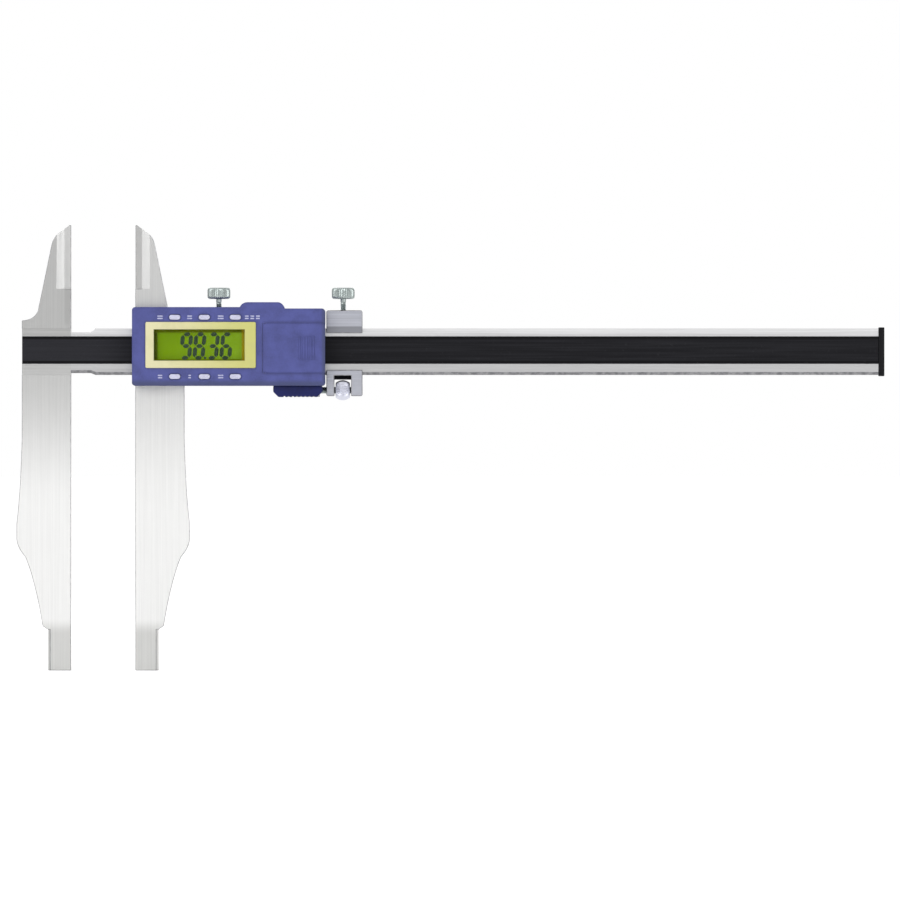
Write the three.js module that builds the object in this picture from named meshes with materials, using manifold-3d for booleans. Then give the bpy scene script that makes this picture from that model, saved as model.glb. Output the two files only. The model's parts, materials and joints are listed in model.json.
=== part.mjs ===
// Digital caliper with nib jaws, knife-edge upper jaws and a fine-adjustment clamp.
// Millimetres. +X runs along the beam away from the fixed jaw, +Z points to the upper jaws
// and the display faces -Y. The dimensions below count from the fixed jaw's measuring plane
// (X = 0), the beam's mid thickness (Y = 0) and its centre line (Z = 0). At the end the whole
// caliper is moved so that its origin is the centre of the fixed jaw's long measuring face.
import * as THREE from "three";
import { mergeVertices } from "three/addons/utils/BufferGeometryUtils.js";
import Module from "manifold-3d";

const wasm = await Module();
wasm.setup();

// ---------------------------------------------------------------- driving dimensions

const FIT = 0.03; // gap between faces that rest on each other
const BORE = 0.05; // radial clearance of a screw or pin in its hole
const LOOSE = 0.1; // radial clearance of a screw in a piece that it holds down
const PLAY = 0.05; // gap round a piece that slides
const SINK = 0.1; // how far heads and pins stay below the face around them
const TIP_ROOM = 0.2; // room past the tip of a screw or pin
const WELD = 0.1; // how far joined shapes reach into each other
const NEARLY = 0.99; // keeps the ends of a pill's round sides apart
const OVERRUN = 2; // how far a cutter runs past the face it enters
const ROUND_SIDES = 28;
const SMALL_SIDES = 14; // for pins, screws and their holes
const SMALL_RADIUS = 2.2;
const JAW_CURVE_STEPS = 10;
const CORNER_STEPS = 3;
const NUT_STEPS = 6;

const beam = { back: -21, end: 347.4, halfHeight: 10, halfDepth: 2.5 };
const scale = { bottom: -5.15, top: 6.55, recess: 0.75, board: 0.5, film: 0.2 };
const relief = { length: 8.5, runOut: 2, top: 1.7, bottom: 0.8 };

const jawDepth = [-2.5, 5]; // front and back faces of both jaws
const webFront = beam.halfDepth + FIT; // face of the jaw and slider webs behind the beam
const jaw = {
  tip: -137.1,
  nib: 10, // widths and [width, height] pairs start at the measuring face
  nibTop: -119.5,
  taper: 12.2,
  taperEnd: -118,
  taperBend: [15.2, -99],
  waist: [19.6, -88.3],
  bulgeBend: [23.4, -84],
  bulge: 23.4,
  bulgeEnd: -80,
  bulgeTop: -74,
  backBend: [21.7, -60],
  back: 21.1,
  straightEnd: -38,
  shoulder: 13.4,
  filletBend: [15.3, 13.8],
  filletEnd: [14.1, 18.2],
  crown: [8.3, 46.3],
  crownBend: [7.5, 49.4],
  crownEnd: [5.6, 50.8],
  point: [0.7, 54.5],
};
const knife = { bottom: 27, width: 6.2, facet: 2.8, facetDepth: 1.3, edgeDepth: 3.2 };
const nibFallBack = 1; // how far the nib's round outer face falls back at its sides

const opening = 27.7; // how far the jaws stand open
const slider = { right: 107.6, railBottom: -13.1, railTop: 17.3 };
const gib = { left: 34, right: 104, thickness: 1.5, halfDepth: 2.2 };
const gibSeat = beam.halfHeight + PLAY;
const channelTop = gibSeat + gib.thickness + PLAY;
const lug = { left: 96, right: 107, bottom: -19.4, front: -1.5 };

const housing = {
  left: 26.5,
  right: 109.4,
  bottom: -14.7,
  top: 19.1,
  rightTop: 18.5, // top edge to the right of the hump
  front: -11.5,
  back: 3.2,
  wall: 1.45,
  corner: 1.4,
};
const hump = { left: 72.8, flatLeft: 76.2, flatRight: 89.1, right: 92.1, top: 21.2, bend: 1 };
const bezel = {
  left: 32.3,
  right: 79.7,
  bottom: -7.1,
  top: 12.7,
  front: -11.9,
  back: -10.75,
  corner: 0.7,
};
const view = { left: 35.9, right: 74.9, bottom: -3.9, top: 9.5 }; // visible part of the display
const lens = { margin: 1, front: -10.72, back: -9.75 };
const board = { left: 37.5, right: 101, bottom: -12.9, top: 17.2, front: -3.55, back: -2.55 };
const lcd = { left: 34.4, right: 77.4, bottom: -5.9, top: 11.3, front: -8.6, back: -6.8 };

const button = { length: 4.8, height: 2.1, front: -12.2 };
const buttonColumns = [44.9, 57.6, 70.9];
const buttonRows = { upper: 14.7, lower: -10.75 };

const cell = {
  x: 94,
  z: 1.6,
  radius: 10,
  front: -9.8,
  back: -6.6,
  capRadius: 8.7,
  capHeight: 0.4,
  edge: 0.3,
};
const cover = { left: 82.6, bottom: -9.2, top: 12.2, thickness: 1.1 };
const port = { left: 77.8, right: 84, front: -9.2, back: -5.8 };

const lock = { headRadius: 4.9, headBottom: 22.7, headTop: 27.5, shank: 1.25, padRadius: 1.1 };
const sliderLockX = 63.6;
const clamp = {
  left: 109.9,
  right: 125.4,
  bottom: -19.1,
  top: 17.8,
  front: -4.5,
  back: 5,
  corner: 0.8,
};
const clampLips = { upper: 8, lower: -7.9 };
const clampWindow = { left: 113.3, right: 120.5, top: -10.3, throughTop: -12, pocketBack: 2.5 };
const clampLockX = 117.1;
const adjust = {
  y: 0.25,
  z: -16.55,
  rod: 1.5,
  rodLeft: 96.3,
  rodRight: 124.4,
  rodRoom: 0.2, // radial clearance where the rod slides through the clamp
  nutRadius: 4.35,
  nutCrown: 1.1, // how far the barrel falls off towards its ends
  nutLeft: 113.8,
  nutRight: 120,
};
const thumb = { left: 87.1, right: 108.2, bottom: -19.5, top: -14.75, front: -8.5, chamfer: 2.2 };

// ---------------------------------------------------------------- materials

function material(color, roughness, metalness) {
  return () => new THREE.MeshStandardMaterial({ color, roughness, metalness });
}

const satinSteel = material(0xd2d2ce, 0.35, 0.9);
const blockSteel = material(0xb4b2bc, 0.4, 0.85);
const screwSteel = material(0xa9b3ad, 0.3, 0.9);
const darkSteel = material(0x3c3c3f, 0.45, 0.8);
const brass = material(0xc2a35c, 0.4, 0.85);
const scaleBlack = material(0x2f3035, 0.45, 0);
const circuitGreen = material(0x1f5b3a, 0.6, 0);
const housingBlue = material(0x525590, 0.55, 0);
const gripNavy = material(0x23264f, 0.6, 0);
const bezelCream = material(0xe6e1a5, 0.5, 0);
const displayGreen = material(0x6e9c12, 0.3, 0);
const clearPlastic = material(0xf4f6f2, 0.1, 0);
const buttonLavender = material(0xdcdcec, 0.6, 0);
const siliconeGrey = material(0x8d8f94, 0.8, 0);
const framePlastic = material(0xd9dad6, 0.6, 0);
const contactNickel = material(0xc4bfae, 0.3, 0.9);

// ---------------------------------------------------------------- solids

// A closed three.js geometry as a solid that can be cut and joined.
function solid(geometry) {
  const bare = new THREE.BufferGeometry();
  bare.setAttribute("position", geometry.getAttribute("position"));
  bare.setIndex(geometry.index);
  const merged = mergeVertices(bare, 1e-4);
  return new wasm.Manifold(
    new wasm.Mesh({
      numProp: 3,
      vertProperties: merged.attributes.position.array,
      triVerts: new Uint32Array(merged.index.array),
    }),
  );
}

function join(first, ...others) {
  return others.reduce((sum, other) => sum.add(other), first);
}

function cut(body, ...cutters) {
  return cutters.reduce((rest, cutter) => rest.subtract(cutter), body);
}

function part(name, body, makeMaterial) {
  const made = body.getMesh();
  const geometry = new THREE.BufferGeometry();
  geometry.setAttribute("position", new THREE.BufferAttribute(made.vertProperties, 3));
  geometry.setIndex(new THREE.BufferAttribute(made.triVerts, 1));
  geometry.computeVertexNormals();
  const mesh = new THREE.Mesh(geometry, makeMaterial());
  mesh.name = name;
  return mesh;
}

function block([x0, x1], [y0, y1], [z0, z1]) {
  const geometry = new THREE.BoxGeometry(x1 - x0, y1 - y0, z1 - z0);
  geometry.translate((x0 + x1) / 2, (y0 + y1) / 2, (z0 + z1) / 2);
  return solid(geometry);
}

const X = new THREE.Vector3(1, 0, 0);
const Y = new THREE.Vector3(0, 1, 0);
const Z = new THREE.Vector3(0, 0, 1);
const FROM_XZ = new THREE.Matrix4().makeBasis(X, Z, Y.clone().negate());
const LATHE_TO = {
  x: new THREE.Matrix4().makeBasis(Y.clone().negate(), X, Z),
  y: new THREE.Matrix4(),
  z: new THREE.Matrix4().makeBasis(X, Z, Y.clone().negate()),
};

// A plate with an XZ outline between two Y faces.
function plate(outline, [y0, y1], curveSegments = 8) {
  const options = { depth: y1 - y0, bevelEnabled: false, curveSegments };
  const geometry = new THREE.ExtrudeGeometry(outline, options);
  geometry.applyMatrix4(FROM_XZ);
  geometry.translate(0, y1, 0);
  return solid(geometry);
}

// A column with an XY outline between two Z faces.
function column(outline, [z0, z1], curveSegments = 8) {
  const options = { depth: z1 - z0, bevelEnabled: false, curveSegments };
  const geometry = new THREE.ExtrudeGeometry(outline, options);
  geometry.translate(0, 0, z0);
  return solid(geometry);
}

// A turned body: profile points are [radius, height], from the low end of its axis up.
function turned(axis, profile, [cx, cy, cz], sides = SMALL_SIDES) {
  const points = profile.map(([radius, height]) => new THREE.Vector2(radius, height));
  const geometry = new THREE.LatheGeometry(points, sides);
  geometry.applyMatrix4(LATHE_TO[axis]);
  geometry.translate(cx, cy, cz);
  return solid(geometry);
}

function sidesFor(radius) {
  return radius < SMALL_RADIUS ? SMALL_SIDES : ROUND_SIDES;
}

function cylinder(axis, radius, [from, to], centre, sides = sidesFor(radius)) {
  const profile = [
    [0, from],
    [radius, from],
    [radius, to],
    [0, to],
  ];
  return turned(axis, profile, centre, sides);
}

function polygon(points) {
  return new THREE.Shape(points.map(([a, b]) => new THREE.Vector2(a, b)));
}

function roundedRectangle([a0, a1], [b0, b1], radius) {
  const quarter = Math.PI / 2;
  const shape = new THREE.Shape();
  shape.absarc(a1 - radius, b0 + radius, radius, -quarter, 0);
  shape.absarc(a1 - radius, b1 - radius, radius, 0, quarter);
  shape.absarc(a0 + radius, b1 - radius, radius, quarter, 2 * quarter);
  shape.absarc(a0 + radius, b0 + radius, radius, 2 * quarter, 3 * quarter);
  return shape;
}

// ---------------------------------------------------------------- beam and fixed jaw

const rivetCentres = [-16.5, -10.5, -4.5].map((x) => [x, (scale.bottom + scale.top) / 2]);
const rivetRadius = 2;
const endScrewHeights = [-6.2, 6.2];
const endScrew = { shank: 1, head: 1.9, headDepth: 1.2, length: 8 };
const stop = { thickness: 2.5, halfDepth: 2.9, halfHeight: 10.5 };

function beamBar() {
  const { back, end, halfHeight, halfDepth } = beam;
  const runOutEnd = relief.length + relief.runOut;
  const outline = polygon([
    [back, -halfHeight],
    [0, -halfHeight],
    [0, -halfHeight + relief.bottom],
    [relief.length, -halfHeight + relief.bottom],
    [runOutEnd, -halfHeight],
    [end, -halfHeight],
    [end, halfHeight],
    [runOutEnd, halfHeight],
    [relief.length, halfHeight - relief.top],
    [0, halfHeight - relief.top],
    [0, halfHeight],
    [back, halfHeight],
  ]);
  const across = [-halfDepth - OVERRUN, -halfDepth + scale.recess];
  const scaleRecess = block([back - OVERRUN, end + OVERRUN], across, [scale.bottom, scale.top]);
  const through = [-halfDepth - OVERRUN, halfDepth + OVERRUN];
  const rivetHoles = rivetCentres.map(([x, z]) =>
    cylinder("y", rivetRadius + BORE, through, [x, 0, z]),
  );
  const endHoles = endScrewHeights.map((z) =>
    cylinder("x", endScrew.shank + BORE, [end - endScrew.length, end + OVERRUN], [0, 0, z]),
  );
  return cut(plate(outline, [-halfDepth, halfDepth]), scaleRecess, ...rivetHoles, ...endHoles);
}

// Outline shared by both jaws. Widths run from the measuring face, towards -X for side -1.
function jawOutline(face, side) {
  const at = ([width, z]) => [face + side * width, z];
  const shape = new THREE.Shape();
  shape.moveTo(...at([0, jaw.tip]));
  shape.lineTo(...at([jaw.nib, jaw.tip]));
  shape.lineTo(...at([jaw.nib, jaw.nibTop]));
  shape.lineTo(...at([jaw.taper, jaw.taperEnd]));
  shape.quadraticCurveTo(...at(jaw.taperBend), ...at(jaw.waist));
  shape.quadraticCurveTo(...at(jaw.bulgeBend), ...at([jaw.bulge, jaw.bulgeEnd]));
  shape.lineTo(...at([jaw.bulge, jaw.bulgeTop]));
  shape.quadraticCurveTo(...at(jaw.backBend), ...at([jaw.back, jaw.straightEnd]));
  shape.lineTo(...at([jaw.back, jaw.shoulder]));
  shape.quadraticCurveTo(...at(jaw.filletBend), ...at(jaw.filletEnd));
  shape.lineTo(...at(jaw.crown));
  shape.quadraticCurveTo(...at(jaw.crownBend), ...at(jaw.crownEnd));
  shape.lineTo(...at(jaw.point));
  shape.lineTo(...at([0, jaw.point[1]]));
  return shape;
}

// The two-step bevel that turns the upper measuring face into a knife edge.
function knifeCutter(face, side, depthFace, inward) {
  const at = (width, depth) => [face + side * width, depthFace + inward * depth];
  const outline = polygon([
    at(knife.width, 0),
    at(knife.facet, knife.facetDepth),
    at(0, knife.edgeDepth),
    at(-OVERRUN, knife.edgeDepth),
    at(-OVERRUN, -OVERRUN),
    at(knife.width, -OVERRUN),
  ]);
  return column(outline, [knife.bottom, jaw.point[1] + OVERRUN]);
}

// What rounds the nib's outer face for inside measurement.
function nibCutter(face, side) {
  const [front, back] = jawDepth;
  const halfChord = (back - front) / 2;
  const radius = (halfChord ** 2 + nibFallBack ** 2) / (2 * nibFallBack);
  const height = [jaw.tip - OVERRUN, jaw.nibTop];
  const widths = [jaw.nib - 2 * nibFallBack, jaw.nib + OVERRUN].map((w) => face + side * w);
  const outer = block(
    widths.sort((a, b) => a - b),
    [front - OVERRUN, back + OVERRUN],
    height,
  );
  const centre = [face + side * (jaw.nib - radius), (front + back) / 2, 0];
  return cut(outer, cylinder("z", radius, height, centre, 2 * ROUND_SIDES));
}

function jawBlank(face, side) {
  const [front, back] = jawDepth;
  return cut(
    plate(jawOutline(face, side), jawDepth, JAW_CURVE_STEPS),
    knifeCutter(face, side, front, 1),
    knifeCutter(face, side, back, -1),
    nibCutter(face, side),
  );
}

function fixedJaw() {
  const [front, back] = jawDepth;
  const slotHeight = beam.halfHeight + FIT;
  const slotX = [-jaw.bulge - OVERRUN, OVERRUN];
  const slot = block(slotX, [front - OVERRUN, webFront], [-slotHeight, slotHeight]);
  const rivetHoles = rivetCentres.map(([x, z]) =>
    cylinder("y", rivetRadius + BORE, [0, back + OVERRUN], [x, 0, z]),
  );
  return cut(jawBlank(0, -1), slot, ...rivetHoles);
}

function rivet([x, z]) {
  const head = -beam.halfDepth + scale.recess + FIT;
  return cylinder("y", rivetRadius, [head, jawDepth[1]], [x, 0, z]);
}

// The printed film lies over the coded circuit board, flush with the beam's front.
function scaleLayers() {
  const floor = -beam.halfDepth + scale.recess;
  const boardDepth = [floor - FIT / 2 - scale.board, floor - FIT / 2];
  const filmDepth = [boardDepth[0] - FIT / 2 - scale.film, boardDepth[0] - FIT / 2];
  const length = [beam.back, beam.end - FIT];
  const height = [scale.bottom + FIT, scale.top - FIT];
  return [
    part("scale_board", block(length, boardDepth, height), circuitGreen),
    part("scale_film", block(length, filmDepth, height), scaleBlack),
  ];
}

function endStop() {
  const { thickness, halfDepth, halfHeight } = stop;
  const span = [beam.end + FIT, beam.end + thickness];
  const outside = beam.end + thickness + OVERRUN;
  const plateBody = block(span, [-halfDepth, halfDepth], [-halfHeight, halfHeight]);
  const cutters = endScrewHeights.flatMap((z) => [
    cylinder("x", endScrew.shank + BORE, [beam.end - OVERRUN, outside], [0, 0, z]),
    cylinder("x", endScrew.head + BORE, [span[1] - endScrew.headDepth, outside], [0, 0, z]),
  ]);
  return cut(plateBody, ...cutters);
}

function endStopScrew(z) {
  const face = beam.end + stop.thickness;
  const headStart = face - endScrew.headDepth + FIT;
  const profile = [
    [0, beam.end - endScrew.length + FIT],
    [endScrew.shank, beam.end - endScrew.length + FIT],
    [endScrew.shank, headStart],
    [endScrew.head, headStart],
    [endScrew.head, face - SINK],
    [0, face - SINK],
  ];
  return turned("x", profile, [0, 0, z]);
}

function beamAssembly() {
  const group = new THREE.Group();
  group.add(part("beam", beamBar(), satinSteel));
  group.add(part("fixed_jaw", fixedJaw(), satinSteel));
  rivetCentres.forEach((centre, i) =>
    group.add(part(`jaw_rivet_${i + 1}`, rivet(centre), screwSteel)),
  );
  group.add(...scaleLayers());
  group.add(part("end_stop", endStop(), darkSteel));
  endScrewHeights.forEach((z, i) =>
    group.add(part(`end_stop_screw_${i + 1}`, endStopScrew(z), screwSteel)),
  );
  return group;
}

// ---------------------------------------------------------------- slider and movable jaw

const gibScrewX = [52, 98];
const gibScrew = { radius: 1.5, bottom: channelTop, top: 16.9, slot: 0.5, slotDepth: 1 };
const housingScrewAt = [
  [34.5, 14.7],
  [105.4, 14.7],
  [34.5, -11.6],
  [105.4, -11.6],
];
const housingScrew = { shank: 0.7, head: 1.3, headDepth: 1.1, tip: -7.5 };
const boardScrewAt = [
  [39.7, 14.9],
  [76.4, 14.9],
  [76.4, -11.4],
];
const boardScrew = { shank: 0.7, head: 1.2, headHeight: 1, tip: 1 };
const thumbScrewX = [90.2, 94];
const thumbScrew = { shank: 0.7, head: 1.3, headDepth: 1.2, y: 0.8, tip: -10.6 };
const rodPin = { x: 101.5, radius: 0.75 };

function frameBlank() {
  const [front, back] = jawDepth;
  const rails = block([opening, slider.right], jawDepth, [slider.railBottom, slider.railTop]);
  const lugHeight = [lug.bottom, slider.railBottom + OVERRUN];
  const lugBody = block([lug.left, lug.right], [lug.front, back], lugHeight);
  const channelX = [opening - OVERRUN, slider.right + OVERRUN];
  const channelZ = [-beam.halfHeight - FIT, channelTop];
  const channel = block(channelX, [front - OVERRUN, webFront], channelZ);
  return cut(join(jawBlank(opening, 1), rails, lugBody), channel);
}

// Holes down through the upper rail, for the lock screw and the gib's set screws.
function upperRailHoles() {
  const height = [channelTop - OVERRUN, slider.railTop + OVERRUN];
  const hole = (x, radius) => cylinder("z", radius + BORE, height, [x, 0, 0]);
  return [hole(sliderLockX, lock.shank), ...gibScrewX.map((x) => hole(x, gibScrew.radius))];
}

function housingScrewHoles() {
  const [front, back] = jawDepth;
  const through = [front - OVERRUN, back + OVERRUN];
  const headRoom = [back - housingScrew.headDepth, back + OVERRUN];
  return housingScrewAt.flatMap(([x, z]) => [
    cylinder("y", housingScrew.shank + BORE, through, [x, 0, z]),
    cylinder("y", housingScrew.head + BORE, headRoom, [x, 0, z]),
  ]);
}

function blindScrewHoles() {
  const boardDepth = [jawDepth[0] - OVERRUN, boardScrew.tip];
  const thumbHeight = [slider.railBottom - OVERRUN, thumbScrew.tip];
  return [
    ...boardScrewAt.map(([x, z]) =>
      cylinder("y", boardScrew.shank + BORE, boardDepth, [x, 0, z]),
    ),
    ...thumbScrewX.map((x) =>
      cylinder("z", thumbScrew.shank + BORE, thumbHeight, [x, thumbScrew.y, 0]),
    ),
  ];
}

function lugHoles() {
  const along = [lug.left - OVERRUN, lug.right + OVERRUN];
  const through = [jawDepth[0] - OVERRUN, jawDepth[1] + OVERRUN];
  return [
    cylinder("x", adjust.rod + BORE, along, [0, adjust.y, adjust.z]),
    cylinder("y", rodPin.radius + BORE, through, [rodPin.x, 0, adjust.z]),
  ];
}

function sliderFrame() {
  const holes = [...upperRailHoles(), ...housingScrewHoles(), ...blindScrewHoles(), ...lugHoles()];
  return cut(frameBlank(), ...holes);
}

function sliderGib() {
  const across = [-gib.halfDepth, gib.halfDepth];
  return block([gib.left, gib.right], across, [gibSeat, gibSeat + gib.thickness]);
}

function gibSetScrew(x) {
  const { radius, bottom, top, slot, slotDepth } = gibScrew;
  const body = cylinder("z", radius, [bottom, top], [x, 0, 0]);
  const wide = [x - radius - OVERRUN, x + radius + OVERRUN];
  return cut(body, block(wide, [-slot / 2, slot / 2], [top - slotDepth, top + OVERRUN]));
}

function housingScrewBody([x, z]) {
  const { shank, head, headDepth, tip } = housingScrew;
  const seat = jawDepth[1] - headDepth + FIT;
  const profile = [
    [0, tip],
    [shank, tip],
    [shank, seat],
    [head, seat],
    [head, jawDepth[1] - SINK],
    [0, jawDepth[1] - SINK],
  ];
  return turned("y", profile, [x, 0, z]);
}

function boardScrewBody([x, z]) {
  const { shank, head, headHeight, tip } = boardScrew;
  const seat = board.front - FIT;
  const profile = [
    [0, seat - headHeight],
    [head, seat - headHeight],
    [head, seat],
    [shank, seat],
    [shank, tip - TIP_ROOM],
    [0, tip - TIP_ROOM],
  ];
  return turned("y", profile, [x, 0, z]);
}

// Thumb screw with a dished drum head. The pad is a loose brass slug under its end.
const dish = { radius: 3, floorRadius: 2.7, depth: 0.7 };
const headChamfer = { lower: 0.9, upper: 0.4 };
const padClearance = 0.3; // between the released pad and what it clamps
const padHeight = 2;

function lockScrew(x, padBottom) {
  const { shank, headRadius, headBottom, headTop } = lock;
  const profile = [
    [0, padBottom + padHeight + PLAY],
    [shank, padBottom + padHeight + PLAY],
    [shank, headBottom],
    [headRadius - headChamfer.lower, headBottom],
    [headRadius, headBottom + headChamfer.lower],
    [headRadius, headTop - headChamfer.upper],
    [headRadius - headChamfer.upper, headTop],
    [dish.radius, headTop],
    [dish.floorRadius, headTop - dish.depth],
    [0, headTop - dish.depth],
  ];
  return turned("z", profile, [x, 0, 0], ROUND_SIDES);
}

function lockPad(x, padBottom) {
  return cylinder("z", lock.padRadius, [padBottom, padBottom + padHeight], [x, 0, 0]);
}

function adjustRod() {
  const span = [adjust.rodLeft, adjust.rodRight];
  const body = cylinder("x", adjust.rod, span, [0, adjust.y, adjust.z]);
  const crossHole = cylinder("y", rodPin.radius + BORE, jawDepth, [rodPin.x, 0, adjust.z]);
  return cut(body, crossHole);
}

function adjustRodPin() {
  const span = [lug.front + TIP_ROOM, jawDepth[1] - SINK];
  return cylinder("y", rodPin.radius, span, [rodPin.x, 0, adjust.z]);
}

function sliderAssembly() {
  const group = new THREE.Group();
  const padBottom = gibSeat + gib.thickness + padClearance;
  group.add(
    part("slider_frame", sliderFrame(), satinSteel),
    part("slider_gib", sliderGib(), brass),
    part("slider_lock_pad", lockPad(sliderLockX, padBottom), brass),
    part("slider_lock_screw", lockScrew(sliderLockX, padBottom), screwSteel),
    part("fine_adjust_rod", adjustRod(), screwSteel),
    part("rod_lock_pin", adjustRodPin(), screwSteel),
  );
  gibScrewX.forEach((x, i) => group.add(part(`gib_screw_${i + 1}`, gibSetScrew(x), screwSteel)));
  housingScrewAt.forEach((at, i) =>
    group.add(part(`housing_screw_${i + 1}`, housingScrewBody(at), screwSteel)),
  );
  boardScrewAt.forEach((at, i) =>
    group.add(part(`board_screw_${i + 1}`, boardScrewBody(at), screwSteel)),
  );
  return group;
}

// ---------------------------------------------------------------- fine-adjustment clamp

function clampBlock() {
  const { left, right, bottom, top, front, back, corner } = clamp;
  const wide = [left - OVERRUN, right + OVERRUN];
  const slotHeight = beam.halfHeight + FIT;
  const channel = block(wide, [-webFront, webFront], [-slotHeight, slotHeight]);
  const mouth = block(wide, [front - OVERRUN, 0], [clampLips.lower, clampLips.upper]);
  const rodHole = cylinder("x", adjust.rod + adjust.rodRoom, wide, [0, adjust.y, adjust.z]);
  const lockHeight = [beam.halfHeight - OVERRUN, top + OVERRUN];
  const lockHole = cylinder("z", lock.shank + BORE, lockHeight, [clampLockX, 0, 0]);
  const outline = roundedRectangle([left, right], [bottom, top], corner);
  const body = plate(outline, [front, back], CORNER_STEPS);
  return cut(body, channel, mouth, ...nutWindow(), rodHole, lockHole);
}

// The nut turns in a window that is open at the front and back; above it there is a pocket.
function nutWindow() {
  const { bottom, front, back } = clamp;
  const { left, right, top, throughTop, pocketBack } = clampWindow;
  return [
    block([left, right], [front - OVERRUN, back + OVERRUN], [bottom - OVERRUN, throughTop]),
    block([left, right], [front - OVERRUN, pocketBack], [bottom, top]),
  ];
}

function adjustNut() {
  const { rod, nutRadius, nutCrown, nutLeft, nutRight } = adjust;
  const bore = rod + BORE;
  const middle = (nutLeft + nutRight) / 2;
  const halfWidth = (nutRight - nutLeft) / 2;
  const barrel = Array.from({ length: NUT_STEPS + 1 }, (_, i) => {
    const along = (2 * i) / NUT_STEPS - 1;
    return [nutRadius - nutCrown * along ** 2, middle + halfWidth * along];
  });
  const profile = [[bore, nutLeft], ...barrel, [bore, nutRight], [bore, nutLeft]];
  return turned("x", profile, [0, adjust.y, adjust.z], ROUND_SIDES);
}

function clampAssembly() {
  const group = new THREE.Group();
  const padBottom = beam.halfHeight + padClearance;
  group.add(
    part("clamp_block", clampBlock(), blockSteel),
    part("clamp_lock_pad", lockPad(clampLockX, padBottom), brass),
    part("clamp_lock_screw", lockScrew(clampLockX, padBottom), screwSteel),
    part("fine_adjust_nut", adjustNut(), screwSteel),
  );
  return group;
}

// ---------------------------------------------------------------- readout

const innerFront = housing.front + housing.wall;
const openWall = [housing.front - OVERRUN, innerFront + TIP_ROOM];
const shellFront = -2.8; // the walls that face the beam and the jaws stop here
const humpHollow = { left: 76.5, right: 89, top: 19.5 };
const jawRoom = { upper: 0.5, lower: 0.4, step: 1 }; // step: height where the jaw gets narrower
const beamWindow = { left: 100, bottom: -10, top: 11.6 };
const lugRoom = { side: 0.2, front: 0.25, top: -13, thumbSide: 0.3 };
const post = { upper: 1.8, lower: 1.5, root: 0.5 }; // radii of the screw posts, and their root
const seat = { margin: 0.06, corner: 0.8, lensMargin: 0.08, buttonGap: 0.3 };
const shaft = { lock: 1.9, gib: 1.7, floor: 3 };
const coverTongue = { reach: 0.65, front: -10.95, back: -10.4, left: 84.2, grooveLeft: 84.1 };
const rib = { count: 5, left: 98.2, pitch: 1.5, width: 0.7, proud: 0.3, bottom: -3.6, top: 6.6 };
const portCover = { left: 76.7, right: 88.7, front: -9.9, back: -4.9, bottom: 20.3 };
const portTongue = { reach: 0.5, height: 0.4 };
const connector = { left: 78.2, right: 83.6, front: -8.9, back: -6.1, bottom: 13.3, top: 19.3 };
const connectorFoot = { inset: 0.8, height: 1.6 };

// A pill-shaped outline in XZ around a button's centre.
function pill([x, z], length, height) {
  const half = [length / 2, height / 2];
  return roundedRectangle([x - half[0], x + half[0]], [z - half[1], z + half[1]], half[1] * NEARLY);
}

function housingOutline() {
  const { left, right, bottom, top, rightTop, corner } = housing;
  const quarter = Math.PI / 2;
  const shape = new THREE.Shape();
  shape.absarc(right - corner, bottom + corner, corner, -quarter, 0);
  shape.absarc(right - corner, rightTop - corner, corner, 0, quarter);
  shape.lineTo(hump.right, rightTop);
  shape.quadraticCurveTo(hump.right - hump.bend, hump.top, hump.flatRight, hump.top);
  shape.lineTo(hump.flatLeft, hump.top);
  shape.quadraticCurveTo(hump.left + hump.bend, hump.top, hump.left, top);
  shape.absarc(left + corner, top - corner, corner, quarter, 2 * quarter);
  shape.absarc(left + corner, bottom + corner, corner, 2 * quarter, 3 * quarter);
  return shape;
}

// The hollow, and what the walls leave free for the jaws, the rails and the lug.
function housingHollows() {
  const { left, right, bottom, top, wall, back } = housing;
  const behind = back + OVERRUN;
  const lowSide = bottom - OVERRUN;
  const highSide = hump.top + OVERRUN;
  const leftEdge = left - OVERRUN;
  const inside = [innerFront, behind];
  const openBack = [shellFront, behind];
  const jawTop = opening + jaw.filletEnd[0] + jawRoom.upper;
  const jawBack = opening + jaw.back + jawRoom.lower;
  return [
    block([left + wall, right - wall], inside, [bottom + wall, top - wall]),
    block([humpHollow.left, humpHollow.right], [innerFront, shellFront], [top - wall, humpHollow.top]),
    block([leftEdge, jawTop], openBack, [0, highSide]),
    block([leftEdge, jawBack], openBack, [lowSide, jawRoom.step]),
    block([beamWindow.left, right + OVERRUN], openBack, [beamWindow.bottom, beamWindow.top]),
    block(
      [lug.left - lugRoom.side, lug.right + lugRoom.side],
      [lug.front - lugRoom.front, behind],
      [lowSide, lugRoom.top],
    ),
  ];
}

function buttonCentres() {
  return Object.entries(buttonRows).flatMap(([row, z]) =>
    buttonColumns.map((x, i) => ({ name: `button_${row}_${i + 1}`, at: [x, z] })),
  );
}

// Rectangle ranges in X and Z, grown by a margin on every side.
function grown({ left, right, bottom, top }, margin) {
  return [
    [left - margin, right + margin],
    [bottom - margin, top + margin],
  ];
}

function displayOpenings() {
  const [lensX, lensZ] = grown(view, lens.margin + seat.lensMargin);
  const bezelSeat = roundedRectangle(...grown(bezel, seat.margin), seat.corner);
  const gap = seat.buttonGap;
  return [
    plate(bezelSeat, [housing.front - OVERRUN, bezel.back + FIT], CORNER_STEPS),
    block(lensX, openWall, lensZ),
    ...buttonCentres().map(({ at }) =>
      plate(pill(at, button.length + gap, button.height + gap), openWall, CORNER_STEPS),
    ),
  ];
}

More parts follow.
